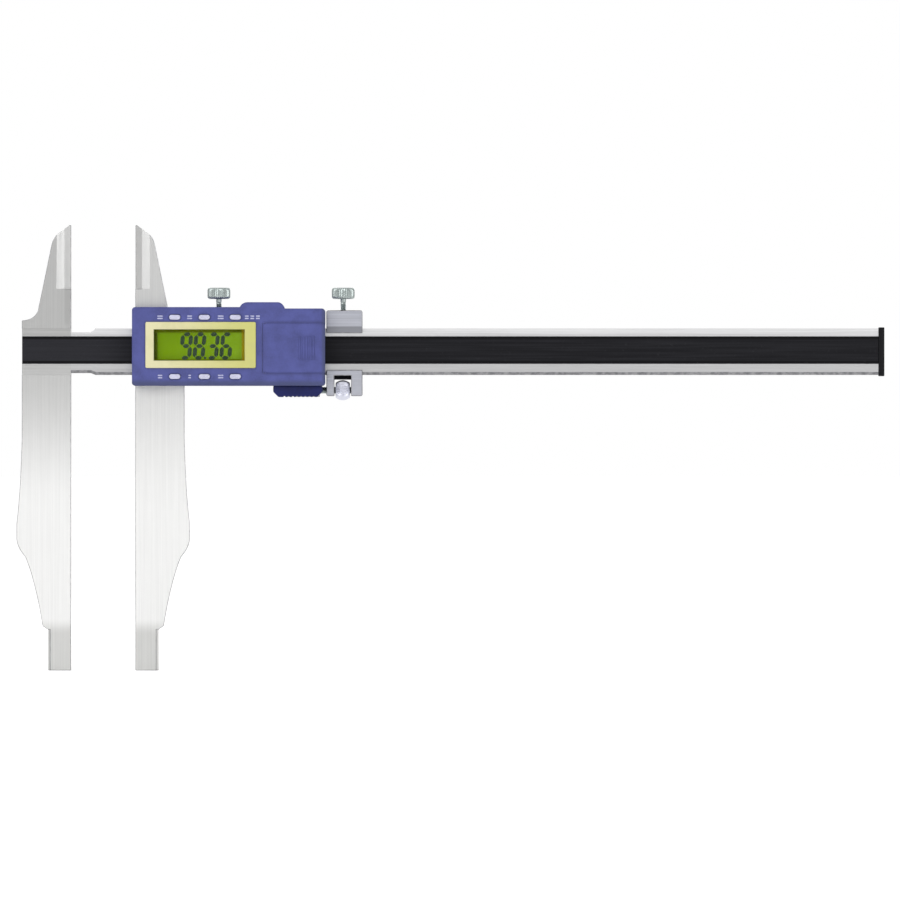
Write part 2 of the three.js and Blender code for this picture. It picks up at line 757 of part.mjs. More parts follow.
// Openings that the two sliding covers close, with grooves for their tongues.
function coverOpenings() {
  const beyond = housing.right + OVERRUN;
  const reach = coverTongue.reach + PLAY;
  const portWide = [portCover.left - PLAY, hump.right + OVERRUN];
  const portBottom = portCover.bottom - PLAY;
  const portReach = portTongue.reach + PLAY;
  return [
    block([cover.left - PLAY, beyond], openWall, [cover.bottom - PLAY, cover.top + PLAY]),
    block(
      [coverTongue.grooveLeft, beyond],
      [coverTongue.front - PLAY, coverTongue.back + PLAY],
      [cover.bottom - reach, cover.top + reach],
    ),
    block(
      portWide,
      [portCover.front - PLAY, portCover.back + PLAY],
      [portBottom, hump.top + OVERRUN],
    ),
    block(
      portWide,
      [portCover.front - portReach, portCover.back + portReach],
      [portBottom, portCover.bottom + portTongue.height + PLAY],
    ),
    block([port.left, port.right], [port.front, port.back], [housing.top - OVERRUN, hump.top]),
  ];
}

function screwOpenings() {
  const above = [housing.top - shaft.floor, hump.top + OVERRUN];
  const below = [housing.bottom - OVERRUN, housing.bottom + OVERRUN];
  return [
    cylinder("z", shaft.lock, above, [sliderLockX, 0, 0]),
    ...gibScrewX.map((x) => cylinder("z", shaft.gib, above, [x, 0, 0])),
    ...thumbScrewX.map((x) =>
      cylinder("z", thumbScrew.shank + LOOSE, below, [x, thumbScrew.y, 0]),
    ),
    ...housingScrewAt.map(([x, z]) =>
      cylinder("y", housingScrew.shank + BORE, [housingScrew.tip - TIP_ROOM, 0], [x, 0, z]),
    ),
  ];
}

function frontHousing() {
  const posts = housingScrewAt.map(([x, z]) => {
    const radius = z > 0 ? post.upper : post.lower;
    return cylinder("y", radius, [innerFront - post.root, board.back], [x, 0, z]);
  });
  const shell = cut(plate(housingOutline(), [housing.front, housing.back], 5), ...housingHollows());
  return cut(join(shell, ...posts), ...displayOpenings(), ...coverOpenings(), ...screwOpenings());
}

function lcdBezel() {
  const outline = roundedRectangle(...grown(bezel, 0), bezel.corner);
  const rim = plate(outline, [bezel.front, bezel.back], CORNER_STEPS);
  const through = [bezel.front - OVERRUN, bezel.back + OVERRUN];
  return cut(rim, block([view.left, view.right], through, [view.bottom, view.top]));
}

function lcdWindow() {
  const [wide, tall] = grown(view, lens.margin);
  return block(wide, [lens.front, lens.back], tall);
}

function lcdPanel() {
  return block([lcd.left, lcd.right], [lcd.front, lcd.back], [lcd.bottom, lcd.top]);
}

const zebra = { left: 38, right: 74, bottom: 9.3, top: 10.6 };
const holderFrame = { margin: 1, inset: 2, bridge: 1.2, slotPlay: 0.1 };

// The plastic frame that holds the display off the circuit board and guides its rubber connector.
function lcdHolder() {
  const { margin, inset, bridge, slotPlay } = holderFrame;
  const depth = [lcd.back + FIT, board.front - FIT];
  const through = [depth[0] - OVERRUN, depth[1] + OVERRUN];
  const [wide, tall] = grown(lcd, margin);
  const [slotX, slotZ] = grown(zebra, slotPlay);
  const middleX = [lcd.left + inset, lcd.right - inset];
  const middle = block(middleX, through, [lcd.bottom + inset, zebra.bottom - bridge]);
  return cut(block(wide, depth, tall), middle, block(slotX, through, slotZ));
}

function zebraStrip() {
  const depth = [lcd.back + FIT, board.front - FIT];
  return block([zebra.left, zebra.right], depth, [zebra.bottom, zebra.top]);
}

function readoutBoard() {
  const wide = [board.left, board.right];
  const body = block(wide, [board.front, board.back], [board.bottom, board.top]);
  const through = [board.front - OVERRUN, board.back + OVERRUN];
  const holes = boardScrewAt.map(([x, z]) =>
    cylinder("y", boardScrew.shank + LOOSE, through, [x, 0, z]),
  );
  return cut(body, ...holes);
}

const flange = { front: innerFront + PLAY, back: innerFront + 1, margin: 1.4 };
const plunger = { length: 3, height: 1.6, back: -5.95 };
const membrane = { front: -4.2, halfHeight: 1.5, overhang: 2.9 };
const dome = { length: 3.6, height: 2.2, front: -5.25 };
const HIDDEN_STEPS = 2; // curve steps of rounded shapes inside the housing

// Cap, retaining flange behind the wall and plunger.
function buttonBody(at) {
  const { length, height, front } = button;
  const { margin } = flange;
  const flangeShape = pill(at, length + margin, height + margin);
  const plungerShape = pill(at, plunger.length, plunger.height);
  return join(
    plate(pill(at, length, height), [front, flange.front + WELD], CORNER_STEPS),
    plate(flangeShape, [flange.front, flange.back], HIDDEN_STEPS),
    plate(plungerShape, [flange.back - WELD, plunger.back], HIDDEN_STEPS),
  );
}

// Silicone strip with one raised dome under each button of a row.
function buttonMembrane(z) {
  const { front, halfHeight, overhang } = membrane;
  const wide = [buttonColumns[0] - overhang, buttonColumns[2] + overhang];
  const strip = block(wide, [front, board.front - FIT], [z - halfHeight, z + halfHeight]);
  const domes = buttonColumns.map((x) =>
    plate(pill([x, z], dome.length, dome.height), [dome.front, front + WELD], HIDDEN_STEPS),
  );
  return join(strip, ...domes);
}

const holder = {
  left: 81.6,
  right: 105.2,
  bottom: -9.3,
  top: 12.5,
  front: -9.95,
  floor: -6.55,
  cellRoom: 0.15,
};
const negativeSlot = { left: 90.6, right: 97.4, bottom: -0.6, top: 3.8 };
const positiveSlot = { left: 82.2, right: 86, bottom: -0.4, top: 3.6 };

function batteryHolder() {
  const depth = [holder.front, board.front - FIT];
  const body = block([holder.left, holder.right], depth, [holder.bottom, holder.top]);
  const pocketDepth = [holder.front - OVERRUN, holder.floor];
  const pocket = cylinder("y", cell.radius + holder.cellRoom, pocketDepth, [cell.x, 0, cell.z]);
  const through = [holder.front - OVERRUN, board.front + OVERRUN];
  const slots = [negativeSlot, positiveSlot].map(({ left, right, bottom, top }) =>
    block([left, right], through, [bottom, top]),
  );
  return cut(body, pocket, ...slots);
}

// Coin cell: the can's flat side faces the cover, the smaller cap faces the circuit board.
function battery() {
  const { x, z, radius, front, back, capRadius, capHeight, edge } = cell;
  const shoulder = back - capHeight;
  const profile = [
    [0, front],
    [radius - edge, front],
    [radius, front + edge],
    [radius, shoulder - edge],
    [radius - edge, shoulder],
    [capRadius, shoulder],
    [capRadius, back],
    [0, back],
  ];
  return turned("y", profile, [x, 0, z], ROUND_SIDES);
}

// A strip of sheet bent along an XY path, thick in the plane and even in height.
function bentStrip(path, thickness, height) {
  const points = path.map(([x, y]) => new THREE.Vector2(x, y));
  const normals = points.map((point, i) => {
    const before = points[Math.max(i - 1, 0)];
    const after = points[Math.min(i + 1, points.length - 1)];
    const along = after.clone().sub(before).normalize();
    return new THREE.Vector2(-along.y, along.x).multiplyScalar(thickness / 2);
  });
  const oneSide = points.map((point, i) => point.clone().add(normals[i]));
  const otherSide = points.map((point, i) => point.clone().sub(normals[i])).reverse();
  return column(new THREE.Shape([...oneSide, ...otherSide]), height);
}

const spring = { thickness: 0.25, base: board.front - TIP_ROOM, sideRoom: 0.4 };
const negativeArm = {
  end: 91.2,
  foot: 96,
  bend: { x: 96.8, y: -4.25 },
  rise: { x: 96.2, y: -4.95 },
  tip: { x: 92.6, y: -6.3 },
  curl: { x: 91.4, y: -6.1 },
};
const positiveArm = {
  end: 85.6,
  foot: 83.2,
  bend: { x: 82.7, y: -4.25 },
  rise: { x: 82.7, y: -7 },
  tip: { x: 83.6, y: -8.2 },
  curl: { x: 82.8, y: -9.5 },
};

// A contact: its foot lies on the circuit board and its arm springs up to the cell.
function contact({ end, foot, bend, rise, tip, curl }, slot) {
  const arm = [bend, rise, tip, curl].map(({ x, y }) => [x, y]);
  const path = [[end, spring.base], [foot, spring.base], ...arm];
  const height = [slot.bottom + spring.sideRoom, slot.top - spring.sideRoom];
  return bentStrip(path, spring.thickness, height);
}

// Sliding cover with side tongues and raised grip ribs.
function batteryCover() {
  const { left, bottom, top, thickness } = cover;
  const { reach, front, back } = coverTongue;
  const face = [housing.front, housing.front + thickness];
  const plateBody = block([left, housing.right], face, [bottom, top]);
  const tongueX = [coverTongue.left, housing.right];
  const tongues = block(tongueX, [front, back], [bottom - reach, top + reach]);
  const ribs = Array.from({ length: rib.count }, (_, i) => {
    const x = rib.left + i * rib.pitch;
    const ribDepth = [housing.front - rib.proud, housing.front + WELD];
    return block([x, x + rib.width], ribDepth, [rib.bottom, rib.top]);
  });
  return join(plateBody, tongues, ...ribs);
}

function dataPortCover() {
  const { left, right, front, back, bottom } = portCover;
  const tongueDepth = [front - portTongue.reach, back + portTongue.reach];
  return join(
    block([left, right], [front, back], [bottom, hump.top]),
    block([left, right], tongueDepth, [bottom, bottom + portTongue.height]),
  );
}

// Socket for the data cable, standing on the circuit board behind the port.
function dataConnector() {
  const { left, right, front, back, bottom, top } = connector;
  const { inset, height } = connectorFoot;
  const footDepth = [back - WELD, board.front - FIT];
  return join(
    block([left, right], [front, back], [bottom, top]),
    block([left + inset, right - inset], footDepth, [bottom, bottom + height]),
  );
}

const groove = { count: 8, left: 91.5, pitch: 1.8, width: 0.7, depth: 0.4 };

function thumbRestBlank() {
  const { left, right, bottom, top, front, chamfer } = thumb;
  const outline = polygon([
    [left + chamfer, bottom],
    [right - chamfer, bottom],
    [right, bottom + chamfer],
    [right, top],
    [left, top],
    [left, bottom + chamfer],
  ]);
  return plate(outline, [front, housing.back]);
}

// Grip under the housing; it stands in front of the lug and is full depth to its left.
function thumbRest() {
  const { right, bottom, top, front } = thumb;
  const behind = housing.back + OVERRUN;
  const room = block(
    [lug.left - lugRoom.thumbSide, right + OVERRUN],
    [lug.front - lugRoom.front, behind],
    [bottom - OVERRUN, top + OVERRUN],
  );
  const grooves = Array.from({ length: groove.count }, (_, i) => {
    const x = groove.left + i * groove.pitch;
    const height = [bottom - OVERRUN, bottom + groove.depth];
    return block([x, x + groove.width], [front - OVERRUN, behind], height);
  });
  const through = [bottom - OVERRUN, top + OVERRUN];
  const headRoom = [bottom - OVERRUN, bottom + thumbScrew.headDepth];
  const screwHoles = thumbScrewX.flatMap((x) => [
    cylinder("z", thumbScrew.shank + LOOSE, through, [x, thumbScrew.y, 0]),
    cylinder("z", thumbScrew.head + LOOSE, headRoom, [x, thumbScrew.y, 0]),
  ]);
  return cut(thumbRestBlank(), room, ...grooves, ...screwHoles);
}

function thumbRestScrew(x) {
  const { shank, head, headDepth, y, tip } = thumbScrew;
  const bottom = thumb.bottom + SINK;
  const headTop = thumb.bottom + headDepth - FIT;
  const profile = [
    [0, bottom],
    [head, bottom],
    [head, headTop],
    [shank, headTop],
    [shank, tip - TIP_ROOM],
    [0, tip - TIP_ROOM],
  ];
  return turned("z", profile, [x, y, 0]);
}

function readoutAssembly() {
  const group = new THREE.Group();
  group.add(
    part("front_housing", frontHousing(), housingBlue),
    part("lcd_bezel", lcdBezel(), bezelCream),
    part("lcd_window", lcdWindow(), clearPlastic),
    part("lcd_panel", lcdPanel(), displayGreen),
    part("lcd_holder", lcdHolder(), framePlastic),
    part("zebra_strip", zebraStrip(), siliconeGrey),
    part("readout_board", readoutBoard(), circuitGreen),
    part("button_membrane_upper", buttonMembrane(buttonRows.upper), siliconeGrey),
    part("button_membrane_lower", buttonMembrane(buttonRows.lower), siliconeGrey),
    part("battery_holder", batteryHolder(), framePlastic),
    part("battery", battery(), screwSteel),
    part("battery_contact_negative", contact(negativeArm, negativeSlot), contactNickel),
    part("battery_contact_positive", contact(positiveArm, positiveSlot), contactNickel),
    part("battery_cover", batteryCover(), housingBlue),
    part("data_port_cover", dataPortCover(), housingBlue),
    part("data_connector", dataConnector(), framePlastic),
    part("thumb_rest", thumbRest(), gripNavy),
  );
  buttonCentres().forEach(({ name, at }) =>
    group.add(part(name, buttonBody(at), buttonLavender)),
  );
  thumbScrewX.forEach((x, i) =>
    group.add(part(`thumb_rest_screw_${i + 1}`, thumbRestScrew(x), screwSteel)),
  );
  return group;
}

const measuringFaceCentre = new THREE.Vector3(
  0,
  (jawDepth[0] + jawDepth[1]) / 2,
  (jaw.tip - beam.halfHeight) / 2,
);
const caliper = new THREE.Group();
caliper.position.copy(measuringFaceCentre).negate();
caliper.add(beamAssembly(), sliderAssembly(), clampAssembly(), readoutAssembly());

export default caliper;
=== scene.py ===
"""A digital caliper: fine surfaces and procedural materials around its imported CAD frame."""
import json
import math

import bmesh
import bpy
from mathutils import Matrix, Vector

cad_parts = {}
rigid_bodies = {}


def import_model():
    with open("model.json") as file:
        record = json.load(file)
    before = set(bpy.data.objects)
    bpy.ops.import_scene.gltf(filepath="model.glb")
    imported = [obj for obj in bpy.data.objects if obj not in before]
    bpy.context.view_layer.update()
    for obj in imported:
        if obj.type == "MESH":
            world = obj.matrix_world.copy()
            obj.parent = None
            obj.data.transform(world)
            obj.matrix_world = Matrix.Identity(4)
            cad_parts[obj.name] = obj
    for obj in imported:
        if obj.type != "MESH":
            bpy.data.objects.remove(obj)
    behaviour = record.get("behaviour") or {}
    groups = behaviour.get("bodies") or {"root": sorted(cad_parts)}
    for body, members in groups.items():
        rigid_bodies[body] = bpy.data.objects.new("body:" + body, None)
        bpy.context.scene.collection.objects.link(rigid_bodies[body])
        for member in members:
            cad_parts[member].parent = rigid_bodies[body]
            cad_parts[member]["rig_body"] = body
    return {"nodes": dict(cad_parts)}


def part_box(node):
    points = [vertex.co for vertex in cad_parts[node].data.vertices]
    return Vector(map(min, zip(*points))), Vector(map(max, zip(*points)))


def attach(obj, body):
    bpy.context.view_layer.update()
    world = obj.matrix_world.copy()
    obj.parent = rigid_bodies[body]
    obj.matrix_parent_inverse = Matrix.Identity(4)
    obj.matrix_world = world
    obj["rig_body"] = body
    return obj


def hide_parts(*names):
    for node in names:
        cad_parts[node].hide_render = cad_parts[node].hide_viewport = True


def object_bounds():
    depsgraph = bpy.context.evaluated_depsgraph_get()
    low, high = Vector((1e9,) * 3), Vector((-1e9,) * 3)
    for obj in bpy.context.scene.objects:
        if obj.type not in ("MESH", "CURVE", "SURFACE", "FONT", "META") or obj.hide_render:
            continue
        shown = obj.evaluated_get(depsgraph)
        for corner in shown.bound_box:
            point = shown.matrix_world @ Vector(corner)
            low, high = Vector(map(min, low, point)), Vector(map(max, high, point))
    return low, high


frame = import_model()
cad_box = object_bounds()
cad_nodes = frame["nodes"]

MM = 0.001
SHARP = math.radians(30)  # steeper edges are broken by a bevel
KNIFE = math.radians(100)  # steeper edges stay sharp
SMOOTH = math.radians(38)  # flatter edges are shaded smooth
FACETED = math.radians(18)  # the same on pieces with ground facets

# Linear base colours.
BEAM_STEEL = (0.66, 0.66, 0.665)
NIB_STEEL = (0.6, 0.6, 0.585)
# Painted highlight: the knife flats are painted brighter than the jaw steel.
FACET_HIGHLIGHT_STEEL = (0.54, 0.54, 0.535)
STOP_STEEL = (0.018, 0.018, 0.02)
BLOCK_STEEL = (0.47, 0.48, 0.535)
# Painted highlight: the nut's steel is painted near-white with a lavender tint.
NUT_HIGHLIGHT_STEEL = (0.74, 0.75, 0.84)
SCREW_STEEL = (0.42, 0.47, 0.46)
BRASS_TONE = (0.66, 0.46, 0.19)
NICKEL = (0.62, 0.58, 0.48)
CELL_STEEL = (0.66, 0.66, 0.66)
HOUSING = (0.062, 0.072, 0.252)
# Partly the thumb rest's own colour, partly painted shade of its downward face.
NAVY = (0.006, 0.01, 0.085)
LAVENDER = (0.51, 0.51, 0.65)
WHITE_PLASTIC = (0.62, 0.63, 0.6)
SILICONE = (0.22, 0.22, 0.24)
JAW_PAINTED_LIGHT = {  # painted light: grey of the jaws above the beam, just below it and further down, brighter lower down as if lit from low in front
    "fixed_jaw": {"top": 0.47, "below": 0.54, "low": 0.87},
    "slider_frame": {"top": 0.59, "below": 0.68, "low": 0.87},
}
MEASURING_EDGE_SHADE = 0.38  # grey of the painted shade strip along the fixed jaw's measuring edge
NIB_HEIGHT = 17.6 * MM


def middle(box):
    return (box[0] + box[1]) / 2


BEAM_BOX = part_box("beam")
COVER_BOXES = [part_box("battery_cover"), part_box("data_port_cover")]
NUT_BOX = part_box("fine_adjust_nut")
ROD_CENTRE = middle(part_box("fine_adjust_rod"))


# ---------------------------------------------------------------- materials


class Shader:
    """One node-based material whose textures are placed in metres on the piece."""

    def __init__(self, name):
        self.material = bpy.data.materials.new(name)
        self.material.use_nodes = True
        self.tree = self.material.node_tree
        self.surface = self.tree.nodes["Principled BSDF"]
        self.inputs = {i.name.lower().replace(" ", "_"): i for i in self.surface.inputs}
        self.place = self.add("ShaderNodeTexCoord").outputs["Object"]

    def add(self, kind, **settings):
        node = self.tree.nodes.new(kind)
        for key, value in settings.items():
            setattr(node, key, value)
        return node

    def feed(self, socket, value):
        if isinstance(value, bpy.types.NodeSocket):
            self.tree.links.new(value, socket)
        elif isinstance(value, tuple) and len(value) == 3 and socket.type == "RGBA":
            socket.default_value = (*value, 1)
        else:
            socket.default_value = value

    def set(self, **values):
        """Feeds inputs of the surface: base_color feeds Base Color."""
        for key, value in values.items():
            self.feed(self.inputs[key], value)

    def math(self, operation, a, b=0.0):
        node = self.add("ShaderNodeMath", operation=operation)
        self.feed(node.inputs[0], a)
        self.feed(node.inputs[1], b)
        return node.outputs[0]

    def times(self, a, b):
        return self.math("MULTIPLY", a, b)

    def scaled(self, value, factor, offset=0.0):
        return self.math("ADD", self.times(value, factor), offset)

    def band(self, value, start, end):
        """0 where value is at start, 1 where it is at end, and held outside."""
        node = self.add("ShaderNodeMapRange", interpolation_type="SMOOTHSTEP")
        self.feed(node.inputs["Value"], value)
        node.inputs["From Min"].default_value = start
        node.inputs["From Max"].default_value = end
        return node.outputs["Result"]

    def mix(self, factor, a, b, blend="MIX"):
        node = self.add("ShaderNodeMix", data_type="RGBA", blend_type=blend)
        self.feed(node.inputs[0], factor)
        self.feed(node.inputs[6], a)
        self.feed(node.inputs[7], b)
        return node.outputs[2]

    def noise(self, period, detail=3.0, shift=0.0):
        """Even noise with features of about the period."""
        return self.grain((period, period, period), detail, shift)

    def grain(self, periods, detail=2.0, shift=0.0):
        """Noise with its own feature length along each axis."""
        mapping = self.add("ShaderNodeMapping")
        self.feed(mapping.inputs["Vector"], self.place)
        mapping.inputs["Scale"].default_value = [1 / p for p in periods]
        mapping.inputs["Location"].default_value = (shift, shift * 1.7, shift * 2.3)
        node = self.add("ShaderNodeTexNoise")
        self.feed(node.inputs["Vector"], mapping.outputs[0])
        node.inputs["Scale"].default_value = 1.0
        node.inputs["Detail"].default_value = detail
        return node.outputs[0]

    def axis(self, name):
        node = self.add("ShaderNodeSeparateXYZ")
        self.feed(node.inputs[0], self.place)
        return node.outputs[name]

    def edges(self, radius, start=0.02, end=0.25):
        """1 on edges and corners within the radius, 0 on flat ground."""
        bevel = self.add("ShaderNodeBevel", samples=6)
        bevel.inputs["Radius"].default_value = radius
        plain = self.add("ShaderNodeNewGeometry").outputs["Normal"]
        dot = self.add("ShaderNodeVectorMath", operation="DOT_PRODUCT")
        self.feed(dot.inputs[0], bevel.outputs[0])
        self.feed(dot.inputs[1], plain)
        return self.band(self.math("SUBTRACT", 1.0, dot.outputs["Value"]), start, end)

    def bump(self, height, depth, strength=1.0):
        node = self.add("ShaderNodeBump")
        node.inputs["Strength"].default_value = strength
        node.inputs["Distance"].default_value = depth
        self.feed(node.inputs["Height"], height)
        return node.outputs[0]


def shade(colour, factor):
    return tuple(c * factor for c in colour)


def grey(value):
    return (value, value, value * 0.99)


def steel_shader(name, along, colour, rough, contrast=0.16):
    """Ground steel with its grain along one axis and cloudy smudges."""
    s = Shader(name)
    length, width, streak = 50 * MM, 0.28 * MM, 1.2 * MM
    dull, bright = shade(colour, 1 - contrast), shade(colour, 1 + contrast / 3)
    fine = s.grain([length if a == along else width for a in "xyz"], 3)
    broad = s.grain([length if a == along else streak for a in "xyz"], 3, 3.1)
    streaks = s.math("ADD", s.times(fine, 0.6), s.times(broad, 0.4))
    smudges = s.band(s.noise(22 * MM, 5, 7.7), 0.5, 0.8)
    tone = s.mix(s.band(streaks, 0.3, 0.7), dull, bright)
    s.tone = s.mix(smudges, tone, shade(colour, 1 - contrast * 0.7))
    polish = s.scaled(s.band(streaks, 0.25, 0.75), -0.1, rough + 0.05)
    s.set(
        base_color=s.tone,
        metallic=1.0,
        roughness=s.math("ADD", polish, s.times(smudges, 0.1)),
        normal=s.bump(fine, 0.012 * MM, 0.6),
    )
    return s


def jaw_painted_light(s, node):
    """Painted light by height: shaded above the beam, brighter down the long jaw as if lit from
    low in front, and darker nibs.
    """
    painted_tones, z = JAW_PAINTED_LIGHT[node], s.axis("Z")
    tip, beam_foot, beam_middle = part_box(node)[0].z, BEAM_BOX[0].z, middle(BEAM_BOX).z
    below = s.band(z, beam_foot - 58 * MM, beam_foot + 4 * MM)
    above = s.band(z, beam_middle - 5 * MM, beam_middle + 6.5 * MM)
    nib = s.band(z, tip + NIB_HEIGHT + 5 * MM, tip + NIB_HEIGHT - 2 * MM)
    tone = s.mix(below, grey(painted_tones["low"]), grey(painted_tones["below"]))
    tone = s.mix(above, tone, grey(painted_tones["top"]))
    return s.mix(s.times(nib, 0.85), tone, NIB_STEEL)


def beam_steel():
    """Beam steel with painted light: brighter along its top, darker along its foot, and the fixed
    jaw's painted light where that sits on it.
    """
    s = steel_shader("beam_steel", "x", (1, 1, 1), 0.34)
    z, foot, top = s.axis("Z"), BEAM_BOX[0].z, BEAM_BOX[1].z
    # Painted shade along the foot and painted light along the top.
    low = s.band(z, foot + 6 * MM, foot + 4 * MM)
    high = s.band(z, top - 3.4 * MM, top - 0.6 * MM)
    colour = s.mix(low, BEAM_STEEL, shade(BEAM_STEEL, 0.85))
    colour = s.mix(high, colour, shade(BEAM_STEEL, 1.2))
    # Where the fixed jaw sits on the beam, the beam takes the jaw's painted light.
    on_jaw = s.band(s.axis("X"), 0.1 * MM, -0.1 * MM)
    colour = s.mix(on_jaw, colour, jaw_painted_light(s, "fixed_jaw"))
    s.set(base_color=s.mix(1.0, s.tone, colour, "MULTIPLY"))
    return s.material


def jaw_steel(node, measuring_face=None):
    """Jaw steel with upright grain and the jaw's painted light by height, and a painted shade
    strip along the measuring edge above the beam.
    """
    s = steel_shader(node + "_steel", "z", (1, 1, 1), 0.4, 0.08)
    # The jaw's painted light by height multiplies the steel's grain.
    colour = s.mix(1.0, s.tone, jaw_painted_light(s, node), "MULTIPLY")
    if measuring_face is not None:
        z, foot = s.axis("Z"), BEAM_BOX[1].z
        near = s.band(s.axis("X"), measuring_face - 3.2 * MM, measuring_face - 2.4 * MM)
        low = s.band(z, foot - 1 * MM, foot + 4 * MM)
        high = s.band(z, foot + 17 * MM, foot + 16.7 * MM)
        # Painted shade along the measuring edge, where its chamfer falls in shadow.
        strip = s.times(near, s.times(low, high))
        colour = s.mix(s.times(strip, 0.7), colour, grey(MEASURING_EDGE_SHADE))
    s.set(base_color=colour)
    return s.material


def facet_steel():
    """The flats of the knife edges, painted brighter than the ground steel round them: a painted
    highlight.
    """
    return steel_shader("facet_steel", "z", FACET_HIGHLIGHT_STEEL, 0.44, 0.06).material


def dark_steel():
    """Blackened steel of the end stop, worn through on its edges."""
    s = steel_shader("dark_steel", "z", STOP_STEEL, 0.42, 0.3)
    bare = (0.35, 0.35, 0.36)
    worn = s.times(s.edges(0.4 * MM), s.band(s.noise(3 * MM, 4), 0.4, 0.6))
    s.set(base_color=s.mix(s.scaled(worn, 0.6), s.tone, bare))
    return s.material


def pocket_black():
    """Painted shadow: near-black inside the clamp's window."""
    s = Shader("pocket_black")
    deep, pale = (0.004, 0.004, 0.007), (0.012, 0.012, 0.018)
    shadow_mottle = s.noise(2 * MM, 3)
    s.set(
        base_color=s.mix(shadow_mottle, deep, pale),
        roughness=s.scaled(shadow_mottle, 0.3, 0.3),
        specular_ior_level=0.2,
    )
    return s.material


def block_steel(box):
    """Clamp steel with a painted shadow on the lower lip of its upper arm."""
    s = steel_shader("block_steel", "x", BLOCK_STEEL, 0.42)
    shadow = (0.21, 0.215, 0.235)
    foot = BEAM_BOX[1].z - 2 * MM
    z = s.axis("Z")
    over = s.band(z, foot - 1 * MM, foot - 0.8 * MM)
    under = s.band(z, foot + 3.2 * MM, foot + 2.6 * MM)
    front = s.band(s.axis("Y"), box[0].y + 2 * MM, box[0].y + 1 * MM)
    # Painted shadow along the lower lip of the upper arm.
    lip = s.times(s.times(under, over), front)
    s.set(base_color=s.mix(s.scaled(lip, 0.8), s.tone, shadow))
    return s.material


def nut_steel():
    """Steel of the fine-adjustment nut, painted near-white with a lavender tint: a painted
    highlight.
    """
    return steel_shader("nut_steel", "x", NUT_HIGHLIGHT_STEEL, 0.36, 0.12).material


def screw_steel():
    """Turned screw steel with grime in patches."""
    s = steel_shader("screw_steel", "y", SCREW_STEEL, 0.3, 0.12)
    dirty = (0.2, 0.21, 0.2)
    grime = s.band(s.noise(1.6 * MM, 3, 2.0), 0.45, 0.7)
    s.set(base_color=s.mix(s.times(grime, 0.3), s.tone, dirty))
    return s.material


def edge_steel():
    """The thin broken edges of the ground pieces, painted dark as painted shade, with a little
    dirt in patches.
    """
    s = Shader("edge_steel")
    shaded_edge, dirty = (0.34, 0.34, 0.35), (0.2, 0.2, 0.21)
    dirt = s.band(s.noise(2 * MM, 4), 0.3, 0.7)
    s.set(
        base_color=s.mix(dirt, shaded_edge, dirty),
        metallic=1.0,
        roughness=s.scaled(dirt, 0.15, 0.38),
        normal=s.bump(s.noise(0.3 * MM, 2), 0.01 * MM, 0.4),
    )
    return s.material


def brass():
    return steel_shader("brass", "x", BRASS_TONE, 0.36, 0.2).material


def bright_metal(name, colour, rough):
    return steel_shader(name, "x", colour, rough, 0.08).material


def moulded_plastic(name, colour, rough, pattern=0.2 * MM, worn=0.16, mottle=0.2, sheen=0.4):
    """Spark-textured moulding: mottled colour, fine pimples, and edges rubbed paler."""
    s = Shader(name)
    dark, light = shade(colour, 1 - mottle), shade(colour, 1 + mottle)
    soft_light = shade(colour, 1 + mottle * 0.6)
    rubbed_pale = tuple(c + worn * (0.8 - c) for c in colour)
    cloud = s.noise(7 * MM, 5, 4.0)
    speck = s.noise(pattern * 3, 2, 9.0)
    tone = s.mix(s.band(cloud, 0.3, 0.7), dark, soft_light)
    s.tone = s.mix(s.scaled(s.band(speck, 0.4, 0.7), 0.35), tone, light)
    rubbed = s.times(s.edges(0.6 * MM), s.band(cloud, 0.35, 0.65))
    s.set(
        base_color=s.mix(s.times(rubbed, 0.5), s.tone, rubbed_pale),
        roughness=s.math("ADD", s.scaled(speck, 0.16, rough - 0.08), s.scaled(rubbed, -0.12)),
        normal=s.bump(s.noise(pattern, 2), 0.03 * MM, 0.5),
        specular_ior_level=sheen,
    )
    return s


def housing_blue(box):
    """Blue moulding with painted shade towards its rims and openings, most at the foot and right.
    """
    s = moulded_plastic("housing_blue", HOUSING, 0.46)
    rim_shadow = (0.042, 0.052, 0.12)
    # Painted shade: bands at the foot and right side, and round the rims.
    foot = s.band(s.axis("Z"), box[0].z + 3 * MM, box[0].z + 1 * MM)
    right = s.band(s.axis("X"), box[1].x - 2 * MM, box[1].x - 0.5 * MM)
    rims = s.edges(2.2 * MM, 0.01, 0.3)
    tone = s.mix(s.scaled(rims, 0.55), s.tone, shade(HOUSING, 0.4))
    s.set(base_color=s.mix(s.scaled(s.math("MAXIMUM", foot, right), 0.7), tone, rim_shadow))
    return s.material


def grip_navy():
    # Dark navy of the thumb rest: partly its own colour, partly painted shade of its downward
    # face.
    return moulded_plastic("grip_navy", NAVY, 0.42, 0.3 * MM, 0.1, sheen=0.25).material


def button_plastic():
    return moulded_plastic("button_lavender", LAVENDER, 0.4, 0.4 * MM, 0.05, 0.08).material


def frame_plastic():
    return moulded_plastic("frame_plastic", WHITE_PLASTIC, 0.5, 0.4 * MM, 0.05, 0.08).material


def connector_grey():
    return moulded_plastic("silicone_grey", SILICONE, 0.7, 0.3 * MM, 0.03, 0.15).material


def bezel_cream(box):
    """Cream frame, yellower towards its right end."""
    s = Shader("bezel_cream")
    cream, yellow, stain = (0.66, 0.62, 0.38), (0.53, 0.52, 0.16), (0.46, 0.45, 0.2)
    across = s.band(s.axis("X"), box[0].x, box[1].x)
    cloud = s.noise(4 * MM, 4)
    tone = s.mix(across, cream, yellow)
    s.set(
        base_color=s.mix(s.scaled(s.band(cloud, 0.4, 0.75), 0.3), tone, stain),
        roughness=s.scaled(cloud, 0.2, 0.32),
        normal=s.bump(s.noise(0.3 * MM, 2, 5.0), 0.02 * MM, 0.3),
    )
    return s.material


